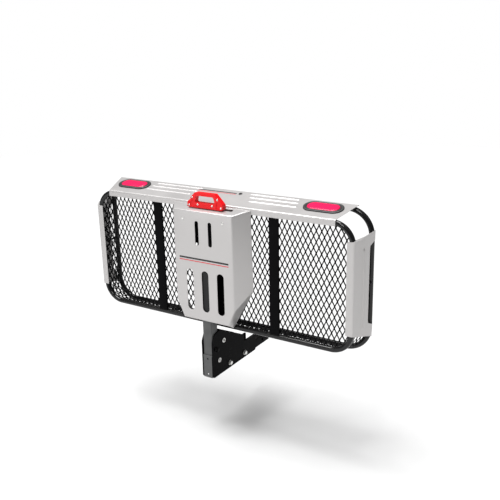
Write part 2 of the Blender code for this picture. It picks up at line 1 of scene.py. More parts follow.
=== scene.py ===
"""Finished looks of the tilting hitch cargo carrier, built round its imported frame.

Shapes are worked out in millimetres in the carrier's own layout: X across the vehicle, +Y
towards the vehicle, +Z up, with the origin at the middle of the floor hoop's lower tube and
the basket folded upright. place_piece() turns them into metres in the row frame.
"""

import math

import bmesh
import bpy
from mathutils import Matrix, Vector
from mathutils.geometry import tessellate_polygon


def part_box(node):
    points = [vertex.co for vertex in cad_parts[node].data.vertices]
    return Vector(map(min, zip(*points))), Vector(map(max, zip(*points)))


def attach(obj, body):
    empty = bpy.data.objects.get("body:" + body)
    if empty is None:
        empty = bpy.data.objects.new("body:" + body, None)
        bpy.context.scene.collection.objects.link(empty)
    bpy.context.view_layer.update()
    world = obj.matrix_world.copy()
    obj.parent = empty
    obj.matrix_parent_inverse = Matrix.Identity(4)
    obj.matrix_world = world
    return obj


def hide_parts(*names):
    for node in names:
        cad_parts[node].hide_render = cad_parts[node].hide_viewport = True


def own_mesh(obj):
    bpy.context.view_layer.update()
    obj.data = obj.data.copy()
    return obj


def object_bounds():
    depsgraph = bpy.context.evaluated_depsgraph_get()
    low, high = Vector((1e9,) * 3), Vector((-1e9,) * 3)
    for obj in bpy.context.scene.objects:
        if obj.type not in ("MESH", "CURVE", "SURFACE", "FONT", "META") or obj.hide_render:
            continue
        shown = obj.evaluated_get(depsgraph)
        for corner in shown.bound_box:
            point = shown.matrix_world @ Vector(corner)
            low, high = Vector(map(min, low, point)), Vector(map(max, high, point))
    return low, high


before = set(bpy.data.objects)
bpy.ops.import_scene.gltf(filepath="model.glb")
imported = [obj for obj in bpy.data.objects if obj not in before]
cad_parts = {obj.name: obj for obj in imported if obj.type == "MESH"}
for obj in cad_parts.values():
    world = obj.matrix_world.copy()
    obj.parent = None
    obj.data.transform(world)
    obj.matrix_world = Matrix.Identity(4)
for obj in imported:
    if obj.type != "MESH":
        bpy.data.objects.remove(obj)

bl_info = {
    "name": "Hitch cargo carrier",
    "version": (1, 0, 0),
    "blender": (4, 5, 0),
    "location": "View3D > Sidebar > Carrier",
    "description": "Builds the visible pieces of a tilting hitch cargo carrier",
    "category": "Object",
}

CAD_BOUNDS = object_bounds()
MM = 0.001

HOOP_LOW, HOOP_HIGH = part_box("floor_hoop")
TUBE_R = (HOOP_HIGH.y - HOOP_LOW.y) / 2 / MM
ORIGIN = Vector((0.0, (HOOP_LOW.y + HOOP_HIGH.y) / 2, HOOP_LOW.z + TUBE_R * MM))


def span(node):
    """Lowest and highest corner of a frame node, in layout millimetres."""
    low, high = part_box(node)
    return (low - ORIGIN) / MM, (high - ORIGIN) / MM


def middle(node):
    low, high = span(node)
    return (low + high) / 2


# basket frame
FLOOR_LOW = 0.0
FLOOR_HALF = span("floor_hoop")[1].x - TUBE_R
FLOOR_HIGH = span("floor_hoop")[1].z - TUBE_R
RIM_HALF = span("rim_hoop")[1].x - TUBE_R
RIM_LOW = span("rim_hoop")[0].z + TUBE_R
RIM_HIGH = span("rim_hoop")[1].z - TUBE_R
RIM_Y = middle("rim_hoop").y
FLOOR_CORNER, RIM_CORNER = 96.0, 112.0
FLOOR_MESH_Y = middle("floor_mesh").y

# post and pivot
POST_LOW, POST_HIGH = span("post")
POST_Y = middle("post").y
PIVOT_Y, PIVOT_Z = middle("pivot_sleeve").y, middle("pivot_sleeve").z
LOCK_RADIUS, LOCK_HOLE_R = 69.0, 8.6
LOCK_ANGLES = (math.radians(-70.0), math.radians(20.0))

# covers
LIP_Y = -15.0
COVER_LIP_LOW, COVER_LIP_TOP = 567.0, 594.0
COVER_RISE = 0.264
COVER_FAR, COVER_HEM = 128.0, 4.0
COVER_NEAR_HALF, COVER_FAR_HALF = 627.0, 669.0
COVER_SLOPE = math.atan(COVER_RISE)
SHIELD_Y = -91.3
SHIELD_SLOTS = (
    (-33.0, 468.0, 116.0, 20.0),
    (40.0, 469.0, 116.0, 20.0),
    (-82.0, 188.0, 204.0, 38.0),
    (4.0, 188.0, 204.0, 38.0),
    (90.0, 188.0, 204.0, 38.0),
)
HANDLE_SLOT = (-116.0, 135.0, -49.5, -31.0)
LAMP_X, LAMP_Y = 530.0, 70.0
LAMP_BEZEL, LAMP_BODY = (95.0, 43.0), (73.0, 27.0)

SHARP = math.radians(35)
SIDES = (("left", -1), ("right", 1))

# bolts, holes and struts
BOLT_R, BOLT_FLATS, BOLT_HOLE_R = 6.35, 19.0, 6.8
PIN_HOLE_R, SLEEVE_HOLE_R = 8.2, 11.2
DRILL_REACH = 60.0
SHANK_WALL, POST_WALL, BAR_WALL, SADDLE_WALL = 4.8, 3.2, 2.0, 3.0
STRUT_R, STRUT_AWAY = 4.8, 6.4
# Height above which the post is painted black: painted shade under the shield.
POST_PAINTED_SHADE_FROM = 60.0
COIL_R, WIRE_R, COIL_TURNS = 4.6, 0.8, 8.0


# ---------------------------------------------------------------- user settings

def length(name, description, default, low=0.0, high=5.0):
    return bpy.props.FloatProperty(
        name=name, description=description, default=default, min=low, max=high, unit="LENGTH", precision=4
    )


def colour(name, description, default):
    return bpy.props.FloatVectorProperty(
        name=name, description=description, default=default, subtype="COLOR", size=3, min=0.0, max=1.0
    )


def share(name, description, default):
    return bpy.props.FloatProperty(
        name=name, description=description, default=default, min=0.0, max=1.0, subtype="FACTOR"
    )


class CarrierFrameSettings(bpy.types.PropertyGroup):
    tube_radius: length("Tube radius", "Outer radius of the two bent hoops", TUBE_R * MM)
    diamond_width: length("Diamond width", "Short way of the expanded mesh", 0.0259)
    diamond_length: length("Diamond length", "Long way of the expanded mesh", 0.0506)
    strand_width: length("Strand width", "Width of one strand of the mesh", 0.0064)
    mesh_thickness: length("Mesh thickness", "Thickness of the mesh steel", 0.0016)
    powder: colour("Powder coat", "Colour of the coated tubes and plates", (0.0045, 0.0045, 0.005))
    # Painted light: the post and web are black powder coated; this lighter grey stands in for the front light
    # on them.
    grey: colour("Painted lit grey", "Colour of the coated post and web", (0.085, 0.087, 0.087))
    mesh_colour: colour("Mesh coat", "Colour of the coated mesh", (0.005, 0.005, 0.0055))
    rub: share("Edge rub", "How far the coat is worn through along edges", 0.12)
    dust: share("Dust", "How much dust lies on upward faces", 0.04)


class CarrierPanelSettings(bpy.types.PropertyGroup):
    sheet: length("Sheet thickness", "Thickness of the shield and the covers", 0.0015)
    bend_radius: length("Bend radius", "Radius of the folds of the shield", 0.005)
    rib_height: length("Rib height", "How far the stamped ribs stand up", 0.0026)
    silver: colour("Silver paint", "Colour of the shield and the covers", (0.50, 0.487, 0.482))
    dark_stripe: colour("Dark stripe", "Colour of the upper pinstripe", (0.012, 0.012, 0.013))
    red_stripe: colour("Red stripe", "Colour of the lower pinstripe", (0.62, 0.015, 0.03))


class CarrierFittingSettings(bpy.types.PropertyGroup):
    handle_red: colour("Handle red", "Colour of the moulded handle", (0.80, 0.004, 0.008))
    lens_red: colour("Lens red", "Colour of the lamp lenses", (0.60, 0.003, 0.060))
    rubber: colour("Rubber", "Colour of the bezels and the grommet", (0.020, 0.020, 0.021))
    zinc: colour("Zinc plating", "Colour of the bolts and screws", (0.72, 0.72, 0.70))


class CarrierStageSettings(bpy.types.PropertyGroup):
    floor_drop: length("Floor drop", "How far the floor lies under the bracket", 0.30)
    floor_colour: colour("Floor", "Colour of the floor", (0.60, 0.60, 0.60))
    light: bpy.props.FloatProperty(
        name="Light", description="Strength of all lamps of the studio", default=1.0, min=0.0, max=10.0
    )


# ---------------------------------------------------------------- finishes

def add_node(tree, kind, inputs=None, **settings):
    node = tree.nodes.new(kind)
    for key, value in settings.items():
        setattr(node, key, value)
    for key, value in (inputs or {}).items():
        node.inputs[key].default_value = value
    return node


def join(tree, *wires):
    """Links nodes; each wire is (node, output, node, input)."""
    for source, out, target, into in wires:
        tree.links.new(source.outputs[out], target.inputs[into])


def shader_group(name, inputs, outputs, fill):
    """The named group of plain value sockets, filled the first time that it is asked for."""
    tree = bpy.data.node_groups.get(name)
    if tree:
        return tree
    tree = bpy.data.node_groups.new(name, "ShaderNodeTree")
    for label, default in inputs.items():
        socket = tree.interface.new_socket(label, in_out="INPUT", socket_type="NodeSocketFloat")
        socket.default_value = default
    for label in outputs:
        tree.interface.new_socket(label, in_out="OUTPUT", socket_type="NodeSocketFloat")
    fill(tree, tree.nodes.new("NodeGroupInput"), tree.nodes.new("NodeGroupOutput"))
    return tree


def fill_coating(tree, given, made):
    """Fine grain of a coat, as a height, and its slow change of tone."""
    spot = add_node(tree, "ShaderNodeTexCoord")
    grain = add_node(tree, "ShaderNodeTexNoise", {"Detail": 2.0, "Roughness": 0.55})
    cloud = add_node(tree, "ShaderNodeTexNoise", {"Detail": 4.0, "Roughness": 0.6})
    spread = add_node(tree, "ShaderNodeMapRange", {"From Min": 0.3, "From Max": 0.7})
    join(
        tree, (spot, "Object", grain, "Vector"), (given, "Grain Size", grain, "Scale"),
        (spot, "Object", cloud, "Vector"), (given, "Cloud Size", cloud, "Scale"),
        (cloud, "Fac", spread, "Value"), (grain, "Fac", made, "Height"), (spread, "Result", made, "Cloud"),
    )


def break_up(tree, given, made, where, detail, roughness, low, high):
    """Puts out a node's result as a mask, broken up by patches and scaled by the amount."""
    spot = add_node(tree, "ShaderNodeTexCoord")
    patch = add_node(tree, "ShaderNodeTexNoise", {"Detail": detail, "Roughness": roughness})
    broken = add_node(tree, "ShaderNodeMapRange", {"From Min": low, "From Max": high})
    both = add_node(tree, "ShaderNodeMath", operation="MULTIPLY")
    scaled = add_node(tree, "ShaderNodeMath", operation="MULTIPLY", use_clamp=True)
    join(
        tree, (spot, "Object", patch, "Vector"), (given, "Patch Size", patch, "Scale"),
        (patch, "Fac", broken, "Value"), (where, "Result", both, 0), (broken, "Result", both, 1),
        (both, "Value", scaled, 0), (given, "Amount", scaled, 1), (scaled, "Value", made, "Mask"),
    )


def fill_rub(tree, given, made):
    """Where a coat is rubbed through: raised edges."""
    shape = add_node(tree, "ShaderNodeNewGeometry")
    eased = add_node(tree, "ShaderNodeBevel", {"Radius": 0.0012}, samples=4)
    facing = add_node(tree, "ShaderNodeVectorMath", operation="DOT_PRODUCT")
    edge = add_node(tree, "ShaderNodeMapRange", {"From Min": 0.985, "From Max": 0.88})
    join(tree, (shape, "Normal", facing, 0), (eased, "Normal", facing, 1), (facing, "Value", edge, "Value"))
    break_up(tree, given, made, edge, 5.0, 0.7, 0.48, 0.62)


def fill_dust(tree, given, made):
    """Thin road dust on faces that look up while the basket stands folded."""
    spot = add_node(tree, "ShaderNodeTexCoord")
    parts = add_node(tree, "ShaderNodeSeparateXYZ")
    upward = add_node(tree, "ShaderNodeMapRange", {"From Min": 0.2, "From Max": 1.0})
    join(tree, (spot, "Normal", parts, "Vector"), (parts, "Z", upward, "Value"))
    break_up(tree, given, made, upward, 6.0, 0.65, 0.35, 0.75)


def coating_group():
    return shader_group(
        "Coating Grain", {"Grain Size": 900.0, "Cloud Size": 9.0}, ("Height", "Cloud"), fill_coating
    )


def rub_group():
    return shader_group("Edge Rub", {"Amount": 0.3, "Patch Size": 60.0}, ("Mask",), fill_rub)


def dust_group():
    return shader_group("Settled Dust", {"Amount": 0.2, "Patch Size": 22.0}, ("Mask",), fill_dust)


def place_group(tree, group, **values):
    node = tree.nodes.new("ShaderNodeGroup")
    node.node_tree = group
    for key, value in values.items():
        node.inputs[key.replace("_", " ").title()].default_value = value
    return node


def mix_colour(tree, factor, low, high):
    """Colour between low and high; each is a colour or a socket."""
    node = add_node(tree, "ShaderNodeMix", data_type="RGBA")
    tree.links.new(factor, node.inputs["Factor"])
    for label, value in (("A", low), ("B", high)):
        socket = next(s for s in node.inputs if s.name == label and s.type == "RGBA")
        if isinstance(value, bpy.types.NodeSocket):
            tree.links.new(value, socket)
        else:
            socket.default_value = (*value, 1.0)
    return next(s for s in node.outputs if s.type == "RGBA")


def tone(value, factor):
    return tuple(min(1.0, channel * factor) for channel in value)


BARE_STEEL = (0.42, 0.41, 0.40)
ROAD_DUST = (0.42, 0.39, 0.35)


def coated_finish(
    name, base, roughness, metallic=0.0, grain=900.0, bump=0.06, depth=0.0002, cloud=9.0,
    vary=0.12, rub=0.0, rubbed=BARE_STEEL, dust=0.0, coat=0.0, coat_roughness=0.2, specular=0.5,
):
    """A coat with grain, slow change of tone, rubbed edges and settled dust."""
    known = bpy.data.materials.get(name)
    if known:
        return known
    material = bpy.data.materials.new(name)
    material.use_nodes = True
    material.diffuse_color = (*base, 1.0)
    tree = material.node_tree
    link = tree.links.new
    shader = tree.nodes["Principled BSDF"]
    shader.inputs["Coat Weight"].default_value = coat
    shader.inputs["Coat Roughness"].default_value = coat_roughness
    shader.inputs["Specular IOR Level"].default_value = specular
    shader.inputs["Metallic"].default_value = metallic
    texture = place_group(tree, coating_group(), grain_size=grain, cloud_size=cloud)
    shade = mix_colour(tree, texture.outputs["Cloud"], tone(base, 1 - vary), tone(base, 1 + vary))
    rough = add_node(tree, "ShaderNodeMapRange", {"To Min": roughness * 0.86, "To Max": roughness * 1.16})
    link(texture.outputs["Cloud"], rough.inputs["Value"])
    if rub:
        worn = place_group(tree, rub_group(), amount=rub, patch_size=55.0)
        shade = mix_colour(tree, worn.outputs["Mask"], shade, rubbed)
        if not metallic:
            metal = add_node(tree, "ShaderNodeMapRange", {"To Max": 0.8})
            link(worn.outputs["Mask"], metal.inputs["Value"])
            link(metal.outputs["Result"], shader.inputs["Metallic"])
    if dust:
        settled = place_group(tree, dust_group(), amount=dust, patch_size=22.0)
        shade = mix_colour(tree, settled.outputs["Mask"], shade, ROAD_DUST)
    height = add_node(tree, "ShaderNodeBump", {"Strength": bump, "Distance": depth})
    link(texture.outputs["Height"], height.inputs["Height"])
    link(height.outputs["Normal"], shader.inputs["Normal"])
    link(rough.outputs["Result"], shader.inputs["Roughness"])
    link(shade, shader.inputs["Base Color"])
    return material


def painted_lit_grey_coat(name, painted_shade_from=None):
    """A lighter, rougher grey copy of the black powder coat for the post and web, painted light from the
    front light on them; black above a given height as painted shade where the shield covers the post.
    """
    known = bpy.data.materials.get(name)
    if known:
        return known
    steel = bpy.context.scene.carrier_frame
    # The grey base is painted light: a lighter copy of the black powder coat for the front light on the post
    # and web.
    material = coated_finish(
        name, tuple(steel.grey), 0.42, grain=1300.0, bump=0.14, vary=0.16, cloud=14.0, rub=steel.rub,
        dust=steel.dust * 2, specular=0.3,
    )
    if painted_shade_from is None:
        return material
    tree = material.node_tree
    base = tree.nodes["Principled BSDF"].inputs["Base Color"]
    # Painted shade: from the given height up, the post takes the black powder colour where the shield covers
    # it.
    spot = add_node(tree, "ShaderNodeTexCoord")
    parts = add_node(tree, "ShaderNodeSeparateXYZ")
    start = painted_shade_from * MM + ORIGIN.z
    painted_shade_mask = add_node(tree, "ShaderNodeMapRange", {"From Min": start, "From Max": start + 0.012})
    tree.links.new(spot.outputs["Object"], parts.inputs["Vector"])
    tree.links.new(parts.outputs["Z"], painted_shade_mask.inputs["Value"])
    shade = mix_colour(tree, painted_shade_mask.outputs["Result"], base.links[0].from_socket, tuple(steel.powder))
    tree.links.new(shade, base)
    return material


def hoop_coat():
    """The same black under a glossy skin, which the bent tubes show along their length."""
    steel = bpy.context.scene.carrier_frame
    return coated_finish(
        "Glossy hoop coat", tuple(steel.powder), 0.22, grain=1500.0, bump=0.05, rub=steel.rub,
        dust=steel.dust, coat=0.6, coat_roughness=0.14, specular=0.05,
    )


def lens_finish(name, base):
    """Clear red moulding with fine upright optic flutes behind a glossy skin; it emits a faint red light as
    painted light, though the lamp is unlit.
    """
    known = bpy.data.materials.get(name)
    if known:
        return known
    material = coated_finish(
        name, base, 0.28, grain=260.0, bump=0.02, cloud=16.0, vary=0.10, coat=0.12, coat_roughness=0.1,
        specular=0.3,
    )
    tree = material.node_tree
    link = tree.links.new
    shader = tree.nodes["Principled BSDF"]
    spot = add_node(tree, "ShaderNodeTexCoord")
    flutes = add_node(tree, "ShaderNodeTexWave", {"Scale": 38.0}, bands_direction="X", wave_profile="SIN")
    link(spot.outputs["Object"], flutes.inputs["Vector"])
    soft = add_node(tree, "ShaderNodeMapRange", {"To Max": 0.55})
    link(flutes.outputs["Fac"], soft.inputs["Value"])
    before = shader.inputs["Base Color"].links[0].from_socket
    lighter = (min(1.0, base[0] * 1.25), base[1] + 0.008, base[2] + 0.04)
    link(mix_colour(tree, soft.outputs["Result"], before, lighter), shader.inputs["Base Color"])
    # Painted light: the unlit lens emits a faint red light, banded like the flutes.
    painted_glow = mix_colour(tree, flutes.outputs["Fac"], tone(base, 0.7), lighter)
    link(painted_glow, shader.inputs["Emission Color"])
    shader.inputs["Emission Strength"].default_value = 0.12
    return material


def finish(slot):
    """The material of one of the record's slots."""
    scene = bpy.context.scene
    steel, panel, fitting = scene.carrier_frame, scene.carrier_panels, scene.carrier_fittings
    rub, dust = steel.rub, steel.dust
    if slot == "red_lens":
        return lens_finish("Red lens", tuple(fitting.lens_red))
    name, base, roughness, looks = {
        "black_powder": ("Black powder coat", steel.powder, 0.24, dict(
            grain=1500.0, bump=0.08, rub=rub, dust=dust, specular=0.015)),
        "expanded_mesh": ("Coated mesh", steel.mesh_colour, 0.40, dict(
            grain=1500.0, bump=0.12, rub=rub * 0.5, dust=dust, specular=0.015)),
        "silver_panel": ("Silver paint", panel.silver, 0.34, dict(
            metallic=0.45, grain=2600.0, bump=0.05, vary=0.025, cloud=4.0, rub=rub * 0.25,
            rubbed=(0.75, 0.75, 0.74), dust=dust * 0.3, coat=0.25)),
        "red_handle": ("Red moulding", fitting.handle_red, 0.38, dict(
            grain=1800.0, bump=0.16, vary=0.06, rub=rub * 0.3, rubbed=(0.95, 0.25, 0.22),
            dust=dust * 0.3, coat=0.05, specular=0.25)),
        "black_rubber": ("Black rubber", fitting.rubber, 0.55, dict(
            grain=1100.0, bump=0.22, vary=0.2, dust=dust)),
        "black_plastic": ("Black plastic", (0.022, 0.022, 0.023), 0.42, dict(
            grain=1400.0, bump=0.2, vary=0.15, dust=dust * 0.6)),
        "zinc_fasteners": ("Zinc plate", fitting.zinc, 0.28, dict(
            metallic=0.9, grain=700.0, bump=0.10, vary=0.14, cloud=60.0)),
        "bright_steel": ("Bright steel", (0.58, 0.57, 0.56), 0.30, dict(
            metallic=1.0, grain=800.0, bump=0.12, cloud=40.0)),
        "bronze_bush": ("Sintered bronze", (0.55, 0.36, 0.14), 0.42, dict(
            metallic=1.0, grain=2200.0, bump=0.3, vary=0.2, cloud=70.0)),
    }[slot]
    return coated_finish(name, tuple(base), roughness, **looks)


# ---------------------------------------------------------------- outlines and solids

def along_x(u, v, w):
    return Vector((w, u, v))


def along_y(u, v, w):
    return Vector((u, w, v))


def along_z(u, v, w):
    return Vector((u, v, w))


def on_cover(u, v, w):
    """Point on the sloping top cover: u across, v up the slope from the lip, w above it."""
    y = LIP_Y + v * math.cos(COVER_SLOPE) - w * math.sin(COVER_SLOPE)
    z = COVER_LIP_TOP + v * math.sin(COVER_SLOPE) + w * math.cos(COVER_SLOPE)
    return Vector((u, y, z))


def slope_run(y):
    return (y - LIP_Y) / math.cos(COVER_SLOPE)


def arc(u, v, radius, start, end, steps):
    angles = [start + (end - start) * i / steps for i in range(steps + 1)]
    return [(u + radius * math.cos(a), v + radius * math.sin(a)) for a in angles]


def circle(u, v, radius, count=32):
    return arc(u, v, radius, 0.0, 2 * math.pi * (count - 1) / count, count - 1)


def rounded_box(low_u, high_u, low_v, high_v, radius, steps=6):
    corners = (
        (high_u - radius, high_v - radius, 0.0),
        (low_u + radius, high_v - radius, 0.5 * math.pi),
        (low_u + radius, low_v + radius, math.pi),
        (high_u - radius, low_v + radius, 1.5 * math.pi),
    )
    return [p for u, v, a in corners for p in arc(u, v, radius, a, a + 0.5 * math.pi, steps)]


def oval(u, v, half_long, half_wide, steps=14):
    points = arc(u + half_long - half_wide, v, half_wide, -0.5 * math.pi, 0.5 * math.pi, steps)
    return points + arc(u - half_long + half_wide, v, half_wide, 0.5 * math.pi, 1.5 * math.pi, steps)


def ease_corner(before, corner, after, radius, steps):
    """Points of a bend that starts and ends one radius from the corner."""
    before, corner, after = Vector(before), Vector(corner), Vector(after)
    into, out = before - corner, after - corner
    reach = min(radius, 0.45 * into.length, 0.45 * out.length)
    start, end = corner + into.normalized() * reach, corner + out.normalized() * reach
    bend = []
    for i in range(steps + 1):
        t = i / steps
        bend.append(start * (1 - t) ** 2 + corner * 2 * t * (1 - t) + end * t**2)
    return bend


def round_corners(points, radius, steps=5):
    """A closed outline with every corner rounded."""
    rounded = []
    for i, corner in enumerate(points):
        bend = ease_corner(points[i - 1], corner, points[(i + 1) % len(points)], radius, steps)
        rounded += [tuple(p) for p in bend]
    return rounded


def fill_loops(builder, loops):
    points = [vertex for loop in loops for vertex in loop]
    for a, b, c in tessellate_polygon([[vertex.co for vertex in loop] for loop in loops]):
        builder.faces.new((points[a], points[b], points[c]))


def add_walls(builder, low, high):
    """Faces between two closed outlines of equal point counts."""
    for i in range(len(low)):
        after = (i + 1) % len(low)
        builder.faces.new((low[i], low[after], high[after], high[i]))


def add_slab(builder, loops, place, low, high):
    """A flat outline, its first loop outer and the others holes, from low to high."""
    ends = [[[builder.verts.new(place(u, v, w)) for u, v in loop] for loop in loops] for w in (low, high)]
    for level in ends:
        if len(level) == 1:
            builder.faces.new(level[0])
        else:
            fill_loops(builder, level)
    for lower, upper in zip(*ends):
        add_walls(builder, lower, upper)


def slab(loops, place, low, high):
    """A new builder that holds one slab."""
    builder = bmesh.new()
    add_slab(builder, loops, place, low, high)
    return builder


def add_outlines(builder, stations, place):
    return [[builder.verts.new(place(u, v, w)) for u, v in outline] for w, outline in stations]


def add_skin(builder, stations, place):
    """A solid through outlines of equal point counts: each station is (height, outline)."""
    rings = add_outlines(builder, stations, place)
    for lower, upper in zip(rings, rings[1:]):
        add_walls(builder, lower, upper)
    builder.faces.new(rings[0])
    builder.faces.new(rings[-1])


def add_ring(builder, stations, place):
    """A closed ring swept through stations of (height, outline), its last joined to its first."""
    rings = add_outlines(builder, stations, place)
    for lower, upper in zip(rings, rings[1:] + rings[:1]):
        add_walls(builder, lower, upper)


def add_turned(builder, profile, u, v, place, sides=32):
    """A solid of revolution: the profile is a list of (radius, height)."""
    add_skin(builder, [(w, circle(u, v, max(radius, 0.02), sides)) for radius, w in profile], place)


def tangents(path, closed):
    count = len(path)
    ahead = []
    for i in range(count):
        after = path[(i + 1) % count] if closed else path[min(i + 1, count - 1)]
        before = path[i - 1] if closed else path[max(i - 1, 0)]
        ahead.append((after - before).normalized())
    return ahead


def add_sweep(builder, path, radius, sides=16, closed=False, radii=None):
    """A round bar along a path; radii may give each point its own radius."""
    ahead = tangents(path, closed)
    side = ahead[0].orthogonal().normalized()
    rings = []
    for i, point in enumerate(path):
        side = (side - ahead[i] * side.dot(ahead[i])).normalized()
        other = ahead[i].cross(side)
        size = radii[i] if radii else radius
        rings.append([builder.verts.new(point + side * u + other * v) for u, v in circle(0, 0, size, sides)])
    for lower, upper in zip(rings, rings[1:]):
        add_walls(builder, lower, upper)
    if closed:
        add_walls(builder, rings[-1], rings[0])
    else:
        builder.faces.new(rings[0])
        builder.faces.new(rings[-1])


def add_bead(builder, start, end, radius, closed_path=None):
    """A weld bead: a round line whose ripples follow each other every 1.7 mm."""
    if closed_path:
        path = closed_path
    else:
        count = max(3, round((end - start).length / 0.85))
        path = [start.lerp(end, i / count) for i in range(count + 1)]
    radii = [radius * (1.0 + 0.13 * (i % 2) + 0.06 * math.sin(i * 1.3)) for i in range(len(path))]
    if not closed_path:
        for i, factor in enumerate((0.45, 0.8)):
            radii[i] *= factor
            radii[-1 - i] *= factor
    add_sweep(builder, path, radius, 10, bool(closed_path), radii)


def add_ring_bead(builder, centre, axis, ring_radius, radius):
    side = axis.orthogonal().normalized()
    other = axis.cross(side).normalized()
    count = max(12, round(2 * math.pi * ring_radius / 1.1)) // 2 * 2
    path = [centre + side * u + other * v for u, v in circle(0, 0, ring_radius, count)]
    add_bead(builder, None, None, radius, path)


# ---------------------------------------------------------------- pieces

def bake(piece):
    """Replaces the mesh with what its modifiers make of it."""
    bpy.context.view_layer.update()
    graph = bpy.context.evaluated_depsgraph_get()
    made = bpy.data.meshes.new_from_object(piece.evaluated_get(graph))
    piece.modifiers.clear()
    before, piece.data = piece.data, made
    bpy.data.meshes.remove(before)
    made.name = piece.name


def raw_piece(name, builder, material):
    bmesh.ops.remove_doubles(builder, verts=builder.verts, dist=0.001)
    bmesh.ops.recalc_face_normals(builder, faces=builder.faces)
    for vertex in builder.verts:
        vertex.co = vertex.co * MM + ORIGIN
    mesh = bpy.data.meshes.new(name)
    builder.to_mesh(mesh)
    builder.free()
    mesh.materials.append(material)
    piece = bpy.data.objects.new(name, mesh)
    bpy.context.scene.collection.objects.link(piece)
    return piece


def place_piece(name, builder, slot, body, nodes=(), sheet=0.0, cutters=None, bevel=0.0, material=None):
    """Finishes a piece, lets it ride on its body and stand for its frame nodes. Sizes in mm."""
    piece = raw_piece(name, builder, material or finish(slot))
    if sheet:
        solid = piece.modifiers.new("Sheet", "SOLIDIFY")
        solid.thickness = sheet * MM
        solid.offset = 0.0
        solid.use_even_offset = True
    if cutters:
        tool = raw_piece(name + "_tool", cutters, piece.data.materials[0])
        boolean = piece.modifiers.new("Cut", "BOOLEAN")
        boolean.operation = "DIFFERENCE"
        boolean.solver = "EXACT"
        boolean.object = tool
    if sheet or cutters:
        bake(piece)
    if cutters:
        bpy.data.objects.remove(tool)
    piece.data.shade_smooth()
    piece.data.set_sharp_from_angle(angle=SHARP)
    if bevel:
        soften(piece, bevel)
    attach(piece, body)
    if nodes:
        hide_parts(*nodes)
    return piece


def soften(piece, width, segments=3):
    edge = piece.modifiers.new("Soft edges", "BEVEL")
    edge.width = width * MM
    edge.segments = segments
    edge.limit_method = "ANGLE"
    edge.angle_limit = math.radians(30)
    edge.use_clamp_overlap = True
    edge.harden_normals = True


def keep_frame_node(node, slot, bevel=0.3):
    """Shows a small hidden frame node with its own finish and softened edges."""
    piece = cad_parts[node]
    piece.data.materials.clear()
    piece.data.materials.append(finish(slot))
    join = piece.modifiers.new("Join corners", "WELD")
    join.merge_threshold = 1e-5
    soften(piece, bevel, 2)


# ---------------------------------------------------------------- hitch bracket

def hex_point(angle, flats):
    """Distance from the middle of a hexagon to its side at an angle."""
    turn = angle % (math.pi / 3) - math.pi / 6
    return flats / 2 / math.cos(turn)


def add_hex(builder, y, z, flats, start, end, both_ends=False):
    """A chamfered hexagon from start to end along X; the far end is rounded off."""
    count = 48
    depth = abs(end - start)
    ahead = 1 if end > start else -1
    rings = []
    levels = [0.0, 0.06, 0.12, 0.2, 0.8, 0.88, 0.94, 1.0]
    for level in levels:
        from_end = (1 - level) * depth
        from_start = level * depth
        limit = flats / 2 * 0.97 + from_end * 1.7
        if both_ends:
            limit = min(limit, flats / 2 * 0.97 + from_start * 1.7)
        outline = []
        for i in range(count):
            angle = 2 * math.pi * i / count
            size = min(hex_point(angle, flats), limit)
            outline.append((y + size * math.cos(angle), z + size * math.sin(angle)))
        rings.append((start + ahead * from_start, outline))
    add_skin(builder, rings, along_x)


def add_thread(builder, y, z, radius, start, end, pitch=1.75):
    """Screw thread along X as rows of crests and roots, with a chamfered end."""
    profile = []
    count = int(abs(end - start) / pitch * 2)
    ahead = 1 if end > start else -1
    for i in range(count + 1):
        profile.append((radius - (0.0 if i % 2 else 0.75), start + ahead * i * pitch / 2))
    profile.append((radius - 1.6, end))
    add_turned(builder, profile, y, z, along_x, 28)


def build_cross_bolt(label, slot):
    """Hex bolt from the right, washer under its head, nut and washer on the left."""
    head_low, head_high = span(f"{label}_bolt")
    nut_low, nut_high = span(f"{label}_nut")
    y, z = (nut_low.y + nut_high.y) / 2, (nut_low.z + nut_high.z) / 2
    plate_face = span("side_plate_right")[1].x
    bolt = bmesh.new()
    washer = [(12.0, 0.0), (12.5, 0.4), (12.5, 1.8), (12.0, 2.2)]
    add_turned(bolt, [(radius, plate_face + w) for radius, w in washer], y, z, along_x, 40)
    add_hex(bolt, y, z, BOLT_FLATS, plate_face + 2.2, head_high.x)
    add_turned(bolt, [(7.0, head_high.x - 0.1), (6.7, head_high.x - 0.02)], y, z, along_x, 24)
    add_turned(bolt, [(BOLT_R, nut_high.x), (BOLT_R, plate_face)], y, z, along_x, 24)
    add_thread(bolt, y, z, BOLT_R, nut_high.x, head_low.x)
    place_piece(f"{label}_bolt_finished", bolt, slot, "hitch_bracket", [f"{label}_bolt"])
    nut = bmesh.new()
    washer = nut_high.x - 2.0
    add_turned(nut, [(12.0, nut_high.x), (12.5, nut_high.x - 0.4), (12.5, washer + 0.3), (12.2, washer)],
               y, z, along_x, 40)
    add_hex(nut, y, z, BOLT_FLATS, washer, nut_low.x, both_ends=True)
    place_piece(f"{label}_nut_finished", nut, slot, "hitch_bracket", [f"{label}_nut"])


def pivot_point(radius, angle):
    return PIVOT_Y + radius * math.cos(angle), PIVOT_Z + radius * math.sin(angle)


